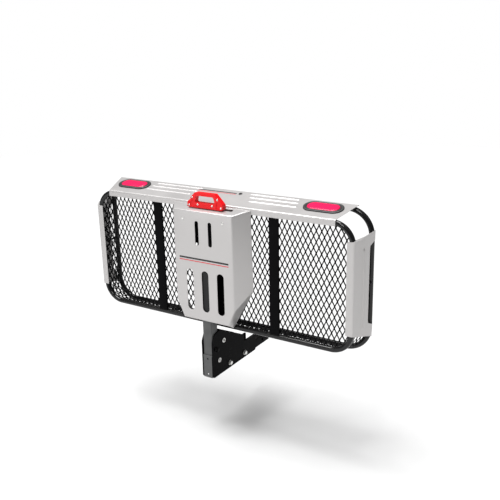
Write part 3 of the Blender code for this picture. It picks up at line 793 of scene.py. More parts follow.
class CARRIER_OT_hitch_bracket(bpy.types.Operator):
    """Builds the shank, the side plates, the rear web and their bolts"""

    bl_idname = "carrier.hitch_bracket"
    bl_label = "Hitch bracket"

    def execute(self, context):
        low, high = span("side_plate_right")
        nuts = [middle(f"shank_{end}_nut") for end in ("rear", "front")]
        bolt_places = [(nut.y, nut.z) for nut in nuts]
        outline = [
            (low.y, low.z), (high.y, low.z), (high.y, -167.0), (183.0, -167.0), (183.0, -126.0),
            (2.0, -33.0), (-20.0, high.z), (-74.0, -32.0), (low.y, -66.0),
        ]
        for side, sign in SIDES:
            loops = [round_corners(outline, 9.0), circle(PIVOT_Y, PIVOT_Z, BOLT_HOLE_R)]
            loops += [circle(*place, BOLT_HOLE_R) for place in bolt_places]
            loops += [circle(*pivot_point(LOCK_RADIUS, a), LOCK_HOLE_R) for a in LOCK_ANGLES]
            near, far = sorted((sign * low.x, sign * high.x))
            plate = slab(loops, along_x, near, far)
            place_piece(f"bracket_plate_{side}", plate, "black_powder", "hitch_bracket",
                        [f"side_plate_{side}"], bevel=0.8)

        web_low, web_high = span("rear_web")
        web = bmesh.new()
        half = low.x - 0.1
        holes = [circle(0.0, z, 5.0, 24) for z in (-155.0, -235.0)]
        edge = rounded_box(-half, half, web_low.z, web_high.z, 3.0)
        add_slab(web, [edge, *holes], along_y, web_low.y, web_high.y)
        # The web's lighter grey is painted light from the front light.
        place_piece("bracket_web", web, "black_powder", "hitch_bracket", ["rear_web"], bevel=0.6,
                    material=painted_lit_grey_coat("Web painted lit grey"))

        for side, sign in SIDES:
            bushes = bmesh.new()
            for angle in LOCK_ANGLES:
                y, z = pivot_point(LOCK_RADIUS, angle)
                section = [(low.x + 0.3, 7.0), (low.x + 0.3, 8.5), (high.x + 0.1, 8.5),
                           (high.x + 0.1, 11.6), (high.x + 1.0, 12.0), (high.x + 1.9, 11.2),
                           (high.x + 2.1, 8.6), (high.x + 1.6, 7.2)]
                add_ring(bushes, [(sign * w, circle(y, z, radius)) for w, radius in section], along_x)
            place_piece(f"lock_hole_bushes_{side}", bushes, "zinc_fasteners", "hitch_bracket")

        shank_low, shank_high = span("shank")
        welds = bmesh.new()
        for sign in (-1, 1):
            seam = Vector((sign * (low.x - 0.6), web_low.y + 1.0, web_low.z + 6))
            add_bead(welds, seam, Vector((seam.x, seam.y, web_high.z - 4)), 1.6)
            seam = Vector((sign * (low.x - 0.8), shank_low.y + 12, shank_high.z + 0.6))
            add_bead(welds, seam, Vector((seam.x, high.y - 8, seam.z)), 2.0)
        place_piece("bracket_welds", welds, "black_powder", "hitch_bracket")

        centre_z = (shank_low.z + shank_high.z) / 2
        half = shank_high.x
        shank = bmesh.new()
        outer = rounded_box(-half, half, centre_z - half, centre_z + half, 5.0)
        inner_half = half - SHANK_WALL
        inner = rounded_box(-inner_half, inner_half, centre_z - inner_half, centre_z + inner_half, 2.0)
        add_slab(shank, [outer, inner], along_y, shank_low.y, shank_high.y)
        pin_y = -ORIGIN.y / MM
        drills = slab([circle(pin_y, centre_z, PIN_HOLE_R)], along_x, -DRILL_REACH, DRILL_REACH)
        for y, z in bolt_places:
            add_slab(drills, [circle(y, z, BOLT_HOLE_R)], along_x, -DRILL_REACH, DRILL_REACH)
        place_piece("hitch_shank", shank, "black_powder", "hitch_bracket", ["shank"], cutters=drills,
                    bevel=0.7)

        build_cross_bolt("shank_rear", "zinc_fasteners")
        build_cross_bolt("shank_front", "zinc_fasteners")
        build_cross_bolt("pivot", "black_powder")
        keep_frame_node("index_plate", "bright_steel", 0.5)
        return {"FINISHED"}


# ---------------------------------------------------------------- post

class CARRIER_OT_post(bpy.types.Operator):
    """Builds the folding post, its cap, the saddles and what turns on the pivot"""

    bl_idname = "carrier.post"
    bl_label = "Post"

    def execute(self, context):
        half = POST_HIGH.x
        inner = half - POST_WALL
        post = bmesh.new()
        loops = [
            rounded_box(-half, half, POST_Y - half, POST_Y + half, 5.0),
            rounded_box(-inner, inner, POST_Y - inner, POST_Y + inner, 2.5),
        ]
        add_slab(post, loops, along_z, POST_LOW.z, POST_HIGH.z)
        drill = slab([circle(PIVOT_Y, PIVOT_Z, SLEEVE_HOLE_R)], along_x, -DRILL_REACH, DRILL_REACH)
        # The post's lighter grey is painted light; from a given height up it is black as painted shade under
        # the shield.
        place_piece("folding_post", post, "black_powder", "basket", ["post"], cutters=drill, bevel=0.6,
                    material=painted_lit_grey_coat("Post painted lit grey and shade", painted_shade_from=POST_PAINTED_SHADE_FROM))

        cap_low, cap_high = span("post_cap")
        rod = middle("pull_rod")
        cap = bmesh.new()
        stations = []
        for w, inset in ((0.0, 0.0), (0.55, 0.0), (0.8, 0.5), (1.0, 2.0)):
            size = half - inset
            stations.append((cap_low.z + w * (cap_high.z - cap_low.z),
                             rounded_box(-size, size, POST_Y - size, POST_Y + size, 5.0 - inset)))
        add_skin(cap, stations, along_z)
        hole = slab([circle(rod.x, rod.y, 3.6, 24)], along_z, cap_low.z - 5, cap_high.z + 5)
        place_piece("post_top_cap", cap, "black_plastic", "basket", ["post_cap"], cutters=hole, bevel=0.4)

        web = SADDLE_WALL
        for name in ("lower", "upper"):
            low, high = span(f"saddle_{name}")
            saddle = bmesh.new()
            channel = [(low.y, low.z), (high.y, low.z), (high.y, high.z), (low.y, high.z),
                       (low.y, high.z - web), (high.y - web, high.z - web),
                       (high.y - web, low.z + web), (low.y, low.z + web)]
            add_slab(saddle, [channel], along_x, low.x, high.x)
            place_piece(f"post_saddle_{name}", saddle, "black_powder", "basket", [f"saddle_{name}"],
                        bevel=0.8)

        keep_frame_node("lock_lug", "black_powder", 0.6)
        keep_frame_node("pivot_sleeve", "bright_steel")
        keep_frame_node("bush_left", "bronze_bush")
        keep_frame_node("bush_right", "bronze_bush")
        return {"FINISHED"}


# ---------------------------------------------------------------- hoops, bars and struts

def hoop_path(half, low, high, corner, y):
    return [Vector((u, y, v)) for u, v in rounded_box(-half, half, low, high, corner, 18)]


def strut_ends():
    """Middle lines of the six struts, from the floor hoop to the rim hoop."""
    bar_x = middle("crossbar_right").x
    mid_z = 300.0
    return {
        "side_strut_left": ((-FLOOR_HALF, mid_z), (-RIM_HALF, mid_z)),
        "side_strut_right": ((FLOOR_HALF, mid_z), (RIM_HALF, mid_z)),
        "lower_strut_left": ((-bar_x, FLOOR_LOW), (-bar_x, RIM_LOW)),
        "lower_strut_right": ((bar_x, FLOOR_LOW), (bar_x, RIM_LOW)),
        "upper_strut_left": ((-bar_x, FLOOR_HIGH), (-bar_x, RIM_HIGH)),
        "upper_strut_right": ((bar_x, FLOOR_HIGH), (bar_x, RIM_HIGH)),
    }


class CARRIER_OT_basket_frame(bpy.types.Operator):
    """Builds the two bent hoops, the bars across them, the struts and their welds"""

    bl_idname = "carrier.basket_frame"
    bl_label = "Basket frame"

    def execute(self, context):
        radius = context.scene.carrier_frame.tube_radius / MM
        welds = bmesh.new()
        hoops = {
            "floor_hoop": (FLOOR_HALF, FLOOR_LOW, FLOOR_HIGH, FLOOR_CORNER, 0.0),
            "rim_hoop": (RIM_HALF, RIM_LOW, RIM_HIGH, RIM_CORNER, RIM_Y),
        }
        for name, size in hoops.items():
            hoop = bmesh.new()
            add_sweep(hoop, hoop_path(*size), radius, 32, closed=True)
            place_piece(f"{name}_tube", hoop, "black_powder", "basket", [name], material=hoop_coat())
            high, y = size[2], size[4]
            add_ring_bead(welds, Vector((0.0, y, high)), Vector((1, 0, 0)), radius - 0.7, 1.3)

        for name in ("crossbar_left", "crossbar_right", "centre_rail_left", "centre_rail_right"):
            low, high = span(name)
            bar = bmesh.new()
            ends = (low.z - 6.0, high.z + 6.0)
            wall = BAR_WALL
            loops = [
                rounded_box(low.x, high.x, low.y, high.y, 2.4, 4),
                rounded_box(low.x + wall, high.x - wall, low.y + wall, high.y - wall, 1.0, 4),
            ]
            add_slab(bar, loops, along_z, *ends)
            place_piece(f"{name}_bar", bar, "black_powder", "basket", [name])
            for z, side in ((FLOOR_LOW, 1), (FLOOR_HIGH, -1)):
                level = z + side * 9.2
                for y in (low.y + 0.4, high.y - 0.4):
                    add_bead(welds, Vector((low.x + 1, y, level)), Vector((high.x - 1, y, level)), 1.7)

        for name, ((floor_x, floor_z), (rim_x, rim_z)) in strut_ends().items():
            start, end = Vector((floor_x, 0.0, floor_z)), Vector((rim_x, RIM_Y, rim_z))
            ahead = (end - start).normalized()
            flare = Vector((rim_x - floor_x, 0.0, rim_z - floor_z)).normalized()
            outward = (flare - ahead * flare.dot(ahead)).normalized() * STRUT_AWAY
            strut = bmesh.new()
            near, far = start + outward + ahead * 8, end + outward - ahead * 8
            add_sweep(strut, [near.lerp(far, i / 6) for i in range(7)], STRUT_R, 20)
            place_piece(f"{name}_rod", strut, "black_powder", "basket", [name])
            for point in (start + outward + ahead * 11.6, end + outward - ahead * 11.6):
                add_ring_bead(welds, point, ahead, 5.2, 1.5)
        place_piece("basket_welds", welds, "black_powder", "basket")
        return {"FINISHED"}


# ---------------------------------------------------------------- expanded mesh

def diamond_faces(short, long, strand, low, high):
    """Knuckles and strands of expanded sheet that cover a range, as (across, along, lift) points."""
    bond, half, tilt = 0.12 * long, 0.62 * strand, 0.9

    def knuckle(i, j):
        u, v = i * short / 2, j * long / 2
        return {
            "top": (u, v + bond, tilt),
            "right_top": (u + half, v + bond * 0.4, tilt * 0.4),
            "right_low": (u + half, v - bond * 0.4, -tilt * 0.4),
            "low": (u, v - bond, -tilt),
            "left_low": (u - half, v - bond * 0.4, -tilt * 0.4),
            "left_top": (u - half, v + bond * 0.4, tilt * 0.4),
        }

    for i in range(math.floor(low[0] / short * 2) - 1, math.ceil(high[0] / short * 2) + 2):
        for j in range(math.floor(low[1] / long * 2) - 1, math.ceil(high[1] / long * 2) + 2):
            if (i + j) % 2:
                continue
            here, right, left = knuckle(i, j), knuckle(i + 1, j + 1), knuckle(i - 1, j + 1)
            yield list(here.values())
            yield [here["top"], here["right_top"], right["low"], right["left_low"]]
            yield [here["left_top"], here["top"], left["right_low"], left["low"]]


def clip_face(face, outline):
    """The part of a face that lies inside a convex outline."""
    for (ax, ay), (bx, by) in zip(outline, outline[1:] + outline[:1]):
        sides = [(bx - ax) * (p[1] - ay) - (by - ay) * (p[0] - ax) for p in face]
        if min(sides) >= 0:
            continue
        kept = []
        for i, point in enumerate(face):
            after = (i + 1) % len(face)
            if sides[i] >= 0:
                kept.append(point)
            if sides[i] * sides[after] < 0:
                part = sides[i] / (sides[i] - sides[after])
                kept.append(tuple(a + (b - a) * part for a, b in zip(point, face[after])))
        face = kept
        if len(face) < 3:
            return []
    return face


def build_mesh_panel(name, node, outline, place, swap=False):
    """Expanded sheet inside an outline; swap turns its diamonds a quarter turn."""
    settings = bpy.context.scene.carrier_frame
    short, long = settings.diamond_width / MM, settings.diamond_length / MM
    strand = settings.strand_width / MM
    flip = (lambda p: (p[1], p[0], *p[2:])) if swap else (lambda p: p)
    low = (min(p[0] for p in outline), min(p[1] for p in outline))
    high = (max(p[0] for p in outline), max(p[1] for p in outline))
    builder = bmesh.new()
    known = {}
    for face in diamond_faces(short, long, strand, flip(low), flip(high)):
        face = clip_face([flip(p) for p in face], outline)
        corners = []
        for point in face:
            key = (round(point[0], 2), round(point[1], 2))
            if key not in known:
                known[key] = builder.verts.new(place(*point))
            if known[key] not in corners:
                corners.append(known[key])
        if len(corners) > 2 and not builder.faces.get(corners):
            builder.faces.new(corners)
    thickness = settings.mesh_thickness / MM
    place_piece(name, builder, "expanded_mesh", "basket", [node], sheet=thickness)


SIDE_RUN = FLOOR_HIGH - 2 * FLOOR_CORNER
CORNER_RUN = FLOOR_CORNER * math.pi / 2
LOWER_RUN = 2 * (FLOOR_HALF - FLOOR_CORNER)


def hoop_point(run, half, low, high, corner):
    """Point and outward direction at a distance from the left top bend, down and round."""
    if run <= SIDE_RUN:
        part = run / SIDE_RUN
        return Vector((-half, 0, high - corner + (low - high + 2 * corner) * part)), Vector((-1, 0, 0))
    run -= SIDE_RUN
    if run <= CORNER_RUN:
        angle = math.pi * (1 + run / CORNER_RUN / 2)
        out = Vector((math.cos(angle), 0, math.sin(angle)))
        return Vector((-half + corner, 0, low + corner)) + out * corner, out
    run -= CORNER_RUN
    if run <= LOWER_RUN:
        part = run / LOWER_RUN
        return Vector(((half - corner) * (2 * part - 1), 0, low)), Vector((0, 0, -1))
    point, out = hoop_point(SIDE_RUN + CORNER_RUN + LOWER_RUN - run, half, low, high, corner)
    return Vector((-point.x, 0, point.z)), Vector((-out.x, 0, out.z))


def on_wall(run, across, lift):
    """Point on the flared wall: across counts from the floor hoop to the rim hoop."""
    near, out = hoop_point(run, FLOOR_HALF, FLOOR_LOW, FLOOR_HIGH, FLOOR_CORNER)
    far = hoop_point(run, RIM_HALF, RIM_LOW, RIM_HIGH, RIM_CORNER)[0]
    far.y = RIM_Y
    ahead = far - near
    normal = (out - ahead.normalized() * out.dot(ahead.normalized())).normalized()
    return near + ahead * (across / ahead.length) + normal * lift


def on_floor(across, up, lift):
    """Point on the flat floor of the basket."""
    return Vector((across, FLOOR_MESH_Y + lift, up))


class CARRIER_OT_mesh_panels(bpy.types.Operator):
    """Builds the expanded steel mesh of the floor, the lower wall, its corners and the sides"""

    bl_idname = "carrier.mesh_panels"
    bl_label = "Mesh panels"

    def execute(self, context):
        hide = 7.0
        floor = rounded_box(-FLOOR_HALF + hide, FLOOR_HALF - hide, FLOOR_LOW + hide, FLOOR_HIGH - hide,
                            FLOOR_CORNER - hide, 8)
        build_mesh_panel("floor_diamonds", "floor_mesh", floor, on_floor)
        width = (Vector((RIM_HALF - FLOOR_HALF, RIM_Y, 0))).length
        stops = [0.0, SIDE_RUN, SIDE_RUN + CORNER_RUN]
        for run in (LOWER_RUN, CORNER_RUN, SIDE_RUN):
            stops.append(stops[-1] + run)
        nodes = ("side_mesh_left", "corner_mesh_left", "lower_mesh", "corner_mesh_right", "side_mesh_right")
        for node, start, end in zip(nodes, stops, stops[1:]):
            outline = [(start, hide), (end, hide), (end, width - hide), (start, width - hide)]
            build_mesh_panel(node.replace("mesh", "diamonds"), node, outline, on_wall, swap=True)
        return {"FINISHED"}


# ---------------------------------------------------------------- covers

def follow(points, step):
    """A polyline with no stretch longer than a step."""
    made = [Vector(points[0])]
    for before, after in zip(points, points[1:]):
        before, after = Vector(before), Vector(after)
        count = max(1, math.ceil((after - before).length / step))
        made += [before.lerp(after, i / count) for i in range(1, count + 1)]
    return made


def bent_line(points, radius, step, steps=5):
    """An open polyline with rounded corners, divided evenly."""
    rounded = [points[0]]
    for before, corner, after in zip(points, points[1:], points[2:]):
        rounded += [tuple(p) for p in ease_corner(before, corner, after, radius, steps)]
    return follow([*rounded, points[-1]], step)


def rib_height(x, y, rib, half_width):
    """Share of the full height that a long stamped rib has at a point."""
    start, end, level = rib
    away = math.hypot(x - min(max(x, start), end), y - level)
    t = max(0.0, 1 - away / half_width)
    return t * t * (3 - 2 * t)


def add_grid(builder, rows):
    made = [[builder.verts.new(point) for point in row] for row in rows]
    for low, high in zip(made, made[1:]):
        for i in range(len(low) - 1):
            builder.faces.new((low[i], low[i + 1], high[i + 1], high[i]))


COVER_COLUMNS = 132
GROMMET_Y = 101.0
COVER_RIBS = ((140.0, 386.0, 111.0), (153.0, 396.0, 81.0), (169.0, 405.0, 48.0))


def cover_half(y):
    return COVER_NEAR_HALF + (COVER_FAR_HALF - COVER_NEAR_HALF) * (y - LIP_Y) / (COVER_FAR - LIP_Y)


def build_top_cover(settings):
    far_top = COVER_LIP_TOP + COVER_RISE * (COVER_FAR - LIP_Y)
    lip = [(LIP_Y, COVER_LIP_LOW), (LIP_Y, COVER_LIP_TOP)]
    line = [*lip, (COVER_FAR, far_top), (COVER_FAR, far_top - COVER_HEM)]
    profile = bent_line(line, 6.0, 3.0)
    height = settings.rib_height / MM
    ribs = [rib for start, end, y in COVER_RIBS for rib in ((start, end, y), (-end - 24.0, -start, y))]
    rows = []
    for y, z in profile:
        row = []
        on_slope = LIP_Y + 8 < y < COVER_FAR - 4
        for i in range(-COVER_COLUMNS, COVER_COLUMNS + 1):
            x = cover_half(y) * i / COVER_COLUMNS
            lift = max(rib_height(x, y, rib, 8.0) for rib in ribs) * height if on_slope else 0.0
            row.append(Vector((x, y - lift * math.sin(COVER_SLOPE), z + lift * math.cos(COVER_SLOPE))))
        rows.append(row)
    cover = bmesh.new()
    add_grid(cover, rows)
    openings = bmesh.new()
    run = slope_run(LAMP_Y)
    for sign in (-1, 1):
        hole = oval(sign * LAMP_X, run, LAMP_BODY[0] + 2.4, LAMP_BODY[1] + 2.4)
        add_slab(openings, [hole], on_cover, -20, 20)
    grommet = middle("harness_grommet")
    add_slab(openings, [circle(grommet.x, slope_run(GROMMET_Y), 6.4)], on_cover, -20, 20)
    place_piece("top_cover_sheet", cover, "silver_panel", "basket", ["top_cover"], sheet=settings.sheet / MM,
                cutters=openings)

    ring = bmesh.new()
    stations = [(0.75, 9.0), (2.2, 9.0), (3.1, 8.2), (3.3, 6.8), (3.0, 4.4), (2.0, 3.6), (-2.0, 3.6),
                (-2.0, 6.2), (0.7, 6.2)]
    add_ring(ring, [(w, circle(grommet.x, slope_run(GROMMET_Y), radius)) for w, radius in stations], on_cover)
    place_piece("lamp_lead_grommet", ring, "black_rubber", "basket", ["harness_grommet"])


SIDE_EDGE = (
    (127.0, 532.0), (126.0, 489.0), (93.0, 470.0), (91.0, 450.0), (90.0, 128.0),
    (93.0, 118.0), (122.0, 104.0), (121.0, 47.0),
)
SIDE_LOW, SIDE_HIGH = 86.0, 510.0
SIDE_LIP_IN, SIDE_FOLD, SIDE_FAR = 682.0, 717.2, 747.5
SIDE_RIB = (109.0, 460.0, 50.0)
SIDE_RIB_LIFT, SIDE_RIB_HALF = 4.6, 7.0
SIDE_COLUMNS = 46


def side_limits(z):
    """Near and far edge of the side cover's face at a height."""
    far = SIDE_EDGE[-1][0]
    for (y_high, z_high), (y_low, z_low) in zip(SIDE_EDGE, SIDE_EDGE[1:]):
        if z_low <= z <= z_high:
            far = y_low + (y_high - y_low) * (z - z_low) / (z_high - z_low)
            break
    top_y, top_z = SIDE_EDGE[0]
    low_y, low_z = SIDE_EDGE[-1]
    near = LIP_Y
    if z > SIDE_HIGH:
        near += (top_y - LIP_Y) * (z - SIDE_HIGH) / (top_z - SIDE_HIGH)
    if z < SIDE_LOW:
        near += (low_y - LIP_Y) * (SIDE_LOW - z) / (SIDE_LOW - low_z)
    return min(near, far), far


def build_side_cover(side, sign, settings):
    """Bent end panel: a narrow lip facing out, a soft fold and a long ribbed face."""
    slope = (SIDE_FAR - SIDE_FOLD) / (RIM_Y - 1.0 - LIP_Y)
    heights = sorted({z for _, z in SIDE_EDGE} | {SIDE_LOW, SIDE_HIGH})
    levels = []
    for low, high in zip(heights, heights[1:]):
        count = max(1, math.ceil((high - low) / 6.0))
        levels += [low + (high - low) * i / count for i in range(count)]
    levels.append(heights[-1])
    rows = []
    for z in levels:
        near, far = side_limits(z)
        face_start = (SIDE_FOLD + slope * (near - LIP_Y), near)
        face_end = (SIDE_FOLD + slope * (far - LIP_Y), far)
        if SIDE_LOW <= z <= SIDE_HIGH:
            lip_z = SIDE_LOW + (z - SIDE_LOW) * (505.0 - SIDE_LOW) / (SIDE_HIGH - SIDE_LOW)
            fold = ease_corner((SIDE_LIP_IN, LIP_Y), face_start, face_end, 7.0, 6)
            lip = [Vector((SIDE_LIP_IN, LIP_Y)).lerp(fold[0], i / 5) for i in range(5)]
            line = [(p.x, p.y, lip_z + (z - lip_z) * i / 11) for i, p in enumerate(lip + list(fold))]
            face_start = tuple(fold[-1])
        else:
            line = [(*face_start, z)] * 12
        for i in range(1, SIDE_COLUMNS + 1):
            x = face_start[0] + (face_end[0] - face_start[0]) * i / SIDE_COLUMNS
            y = face_start[1] + (face_end[1] - face_start[1]) * i / SIDE_COLUMNS
            line.append((x + SIDE_RIB_LIFT * rib_height(z, y, SIDE_RIB, SIDE_RIB_HALF), y, z))
        rows.append([Vector((sign * x, y, level)) for x, y, level in line])
    cover = bmesh.new()
    add_grid(cover, rows)
    bmesh.ops.remove_doubles(cover, verts=cover.verts, dist=0.05)
    bmesh.ops.dissolve_degenerate(cover, edges=cover.edges, dist=0.02)
    place_piece(f"side_cover_{side}_sheet", cover, "silver_panel", "basket", [f"side_cover_{side}"],
                sheet=settings.sheet / MM)


class CARRIER_OT_covers(bpy.types.Operator):
    """Builds the ribbed top cover with its lamp lead grommet, and the two side covers"""

    bl_idname = "carrier.covers"
    bl_label = "Covers"

    def execute(self, context):
        settings = context.scene.carrier_panels
        build_top_cover(settings)
        for side, sign in SIDES:
            build_side_cover(side, sign, settings)
        return {"FINISHED"}


# ---------------------------------------------------------------- shield

class CARRIER_OT_shield(bpy.types.Operator):
    """Builds the folded shield over the post with its slots, strip and rivets"""

    bl_idname = "carrier.shield"
    bl_label = "Shield"

    def execute(self, context):
        settings = context.scene.carrier_panels
        sheet = settings.sheet / MM
        back = LIP_Y - sheet
        half_points = [
            (162.0, SHIELD_Y, 570.0), (162.0, SHIELD_Y, 120.0), (128.0, SHIELD_Y, 42.0),
            (214.0, back, 586.0), (221.0, back, 208.0), (104.0, back, 0.0),
        ]
        shield = bmesh.new()
        corners = [shield.verts.new((sign * x, y, z)) for sign in (1, -1) for x, y, z in half_points]
        faces = [(0, 1, 2, 8, 7, 6), (0, 3, 4, 1), (1, 4, 5, 2), (6, 7, 10, 9), (7, 8, 11, 10), (0, 6, 9, 3)]
        for face in faces:
            shield.faces.new([corners[i] for i in face])
        folds = [edge for edge in shield.edges if len(edge.link_faces) == 2]
        bmesh.ops.bevel(shield, geom=folds, offset=settings.bend_radius / MM, segments=5, profile=0.5,
                        affect="EDGES", clamp_overlap=True)
        slots = bmesh.new()
        for x, z, long, wide in SHIELD_SLOTS:
            shape = [(x + v, z + u) for u, v in oval(0, 0, long / 2, wide / 2)]
            add_slab(slots, [shape], along_y, SHIELD_Y - 10, SHIELD_Y + 10)
        add_slab(slots, [rounded_box(*HANDLE_SLOT, 4.0)], along_z, 560, 600)
        place_piece("shield_sheet", shield, "silver_panel", "basket", ["shield"], sheet=sheet, cutters=slots,
                    bevel=0.45)

        low, high = span("shield_strip")
        strip = slab([rounded_box(low.x, high.x, low.z, high.z, 3.0)], along_y, low.y, high.y)
        place_piece("shield_backing_strip", strip, "black_powder", "basket", ["shield_strip"], bevel=0.6)
        for side in ("left", "right"):
            low, high = span(f"shield_rivet_{side}")
            centre = (low + high) / 2
            rivet = bmesh.new()
            profile = [(5.6, high.y), (5.9, high.y - 0.6), (5.2, high.y - 1.3), (3.9, high.y - 1.9),
                       (2.2, low.y + 0.1), (1.9, low.y + 0.5), (0.6, low.y + 0.6)]
            add_turned(rivet, profile, centre.x, centre.z, along_y)
            place_piece(f"shield_dome_rivet_{side}", rivet, "zinc_fasteners", "basket",
                        [f"shield_rivet_{side}"])
        return {"FINISHED"}


class CARRIER_OT_graphics(bpy.types.Operator):
    """Adds a pair of plain straight pinstripes to the shield and to the top cover"""

    bl_idname = "carrier.graphics"
    bl_label = "Graphics"

    def execute(self, context):
        settings = context.scene.carrier_panels
        dark = coated_finish("Dark stripe", tuple(settings.dark_stripe), 0.35, grain=900.0, vary=0.1)
        red = coated_finish("Red stripe", tuple(settings.red_stripe), 0.32, grain=900.0, vary=0.06)
        face = SHIELD_Y - settings.sheet / MM / 2
        sheet_top = settings.sheet / MM / 2
        stripe_end = span("harness_grommet")[0].x - 12.0
        stripes = (("dark", dark, (340.0, 348.0), (98.0, 104.0)), ("red", red, (330.0, 334.0), (90.0, 93.0)))
        for paint, material, heights, depths in stripes:
            on_shield = (-138.0, 138.0, *heights)
            on_top = (-150.0, stripe_end, *(slope_run(y) for y in depths))
            stripe = slab([rounded_box(*on_shield, 1.2, 3)], along_y, face - 0.25, face + 0.05)
            place_piece(f"shield_{paint}_stripe", stripe, None, "basket", material=material)
            stripe = slab([rounded_box(*on_top, 1.0, 3)], on_cover, sheet_top - 0.05, sheet_top + 0.25)
            place_piece(f"cover_{paint}_stripe", stripe, None, "basket", material=material)
        return {"FINISHED"}


# ---------------------------------------------------------------- lamps

def inset_ovals(x, run, half_size, section, steps):
    """Stations of one oval that shrinks by an inset: the section is a list of (height, inset)."""
    long, wide = half_size
    return [(w, oval(x, run, long - inset, wide - inset, steps)) for w, inset in section]


class CARRIER_OT_lamps(bpy.types.Operator):
    """Builds the two oval lamps: rubber bezel, housing and fluted lens"""

    bl_idname = "carrier.lamps"
    bl_label = "Lamps"

    def execute(self, context):
        run = slope_run(LAMP_Y)
        top = context.scene.carrier_panels.sheet / MM / 2
        for side, sign in SIDES:
            x = sign * LAMP_X
            bezel = bmesh.new()
            section = [(0.1, 0.0), (2.6, 0.0), (4.8, 1.2), (6.0, 4.0), (6.3, 7.4), (5.4, 9.6), (5.4, 13.4),
                       (6.0, 15.0), (5.6, 16.8), (3.6, 17.6), (0.1, 17.6)]
            section = [(top + w, inset) for w, inset in section]
            add_ring(bezel, inset_ovals(x, run, LAMP_BEZEL, section, 20), on_cover)
            place_piece(f"lamp_{side}_bezel", bezel, "black_rubber", "basket", [f"lamp_bezel_{side}"])

            trim = bmesh.new()
            section = [(4.0, 10.0), (6.2, 10.0), (6.7, 11.0), (6.2, 12.4), (4.0, 12.4)]
            section = [(top + w, inset) for w, inset in section]
            add_ring(trim, inset_ovals(x, run, LAMP_BEZEL, section, 20), on_cover)
            place_piece(f"lamp_{side}_trim_ring", trim, "black_plastic", "basket")

            housing = bmesh.new()
            steps = [(-22.0, 9.0), (-20.5, 6.5), (-17.0, 5.6), (-9.0, 4.6), (-8.6, 1.6), (-4.0, 1.2),
                     (-3.6, 0.0), (top + 0.6, 0.0)]
            add_skin(housing, inset_ovals(x, run, LAMP_BODY, steps, 14), on_cover)
            for k in range(-3, 4):
                fin = x + k * 16
                fin = rounded_box(fin - 0.9, fin + 0.9, run - 19, run + 19, 0.8, 3)
                add_slab(housing, [fin], on_cover, -21.9, -8.0)
            place_piece(f"lamp_{side}_housing", housing, "black_plastic", "basket", [f"lamp_housing_{side}"])

            lens = bmesh.new()
            dome = [(top + 1.0, 0.6), (top + 5.4, 0.6), (top + 6.8, 1.6), (top + 7.7, 3.6), (top + 8.4, 7.0),
                    (top + 8.9, 12.0), (top + 9.15, 18.0), (top + 9.2, 24.0)]
            body = (LAMP_BODY[0] + 3.6, LAMP_BODY[1] + 3.6)
            add_skin(lens, inset_ovals(x, run, body, dome, 20), on_cover)
            place_piece(f"lamp_{side}_lens", lens, "red_lens", "basket", [f"lamp_lens_{side}"])
        return {"FINISHED"}


# ---------------------------------------------------------------- release

def build_screw(name, x, z, face, nodes):
    """Pan head screw with a round socket, its head facing the rear."""
    screw = bmesh.new()
    profile = [(4.4, face), (4.6, face - 0.5), (4.2, face - 1.4), (3.3, face - 2.2), (2.3, face - 2.5)]
    socket = [(1.9, face - 2.5), (1.9, face - 1.1)]
    rings, socket = (
        add_outlines(screw, [(w, circle(x, z, radius, 24)) for radius, w in section], along_y)
        for section in (profile, socket)
    )
    for lower, upper in zip(rings + socket, rings[1:] + socket):
        if lower is not upper:
            add_walls(screw, lower, upper)
    screw.faces.new(socket[-1])
    screw.faces.new(rings[0])
    place_piece(name, screw, "zinc_fasteners", "release", nodes)


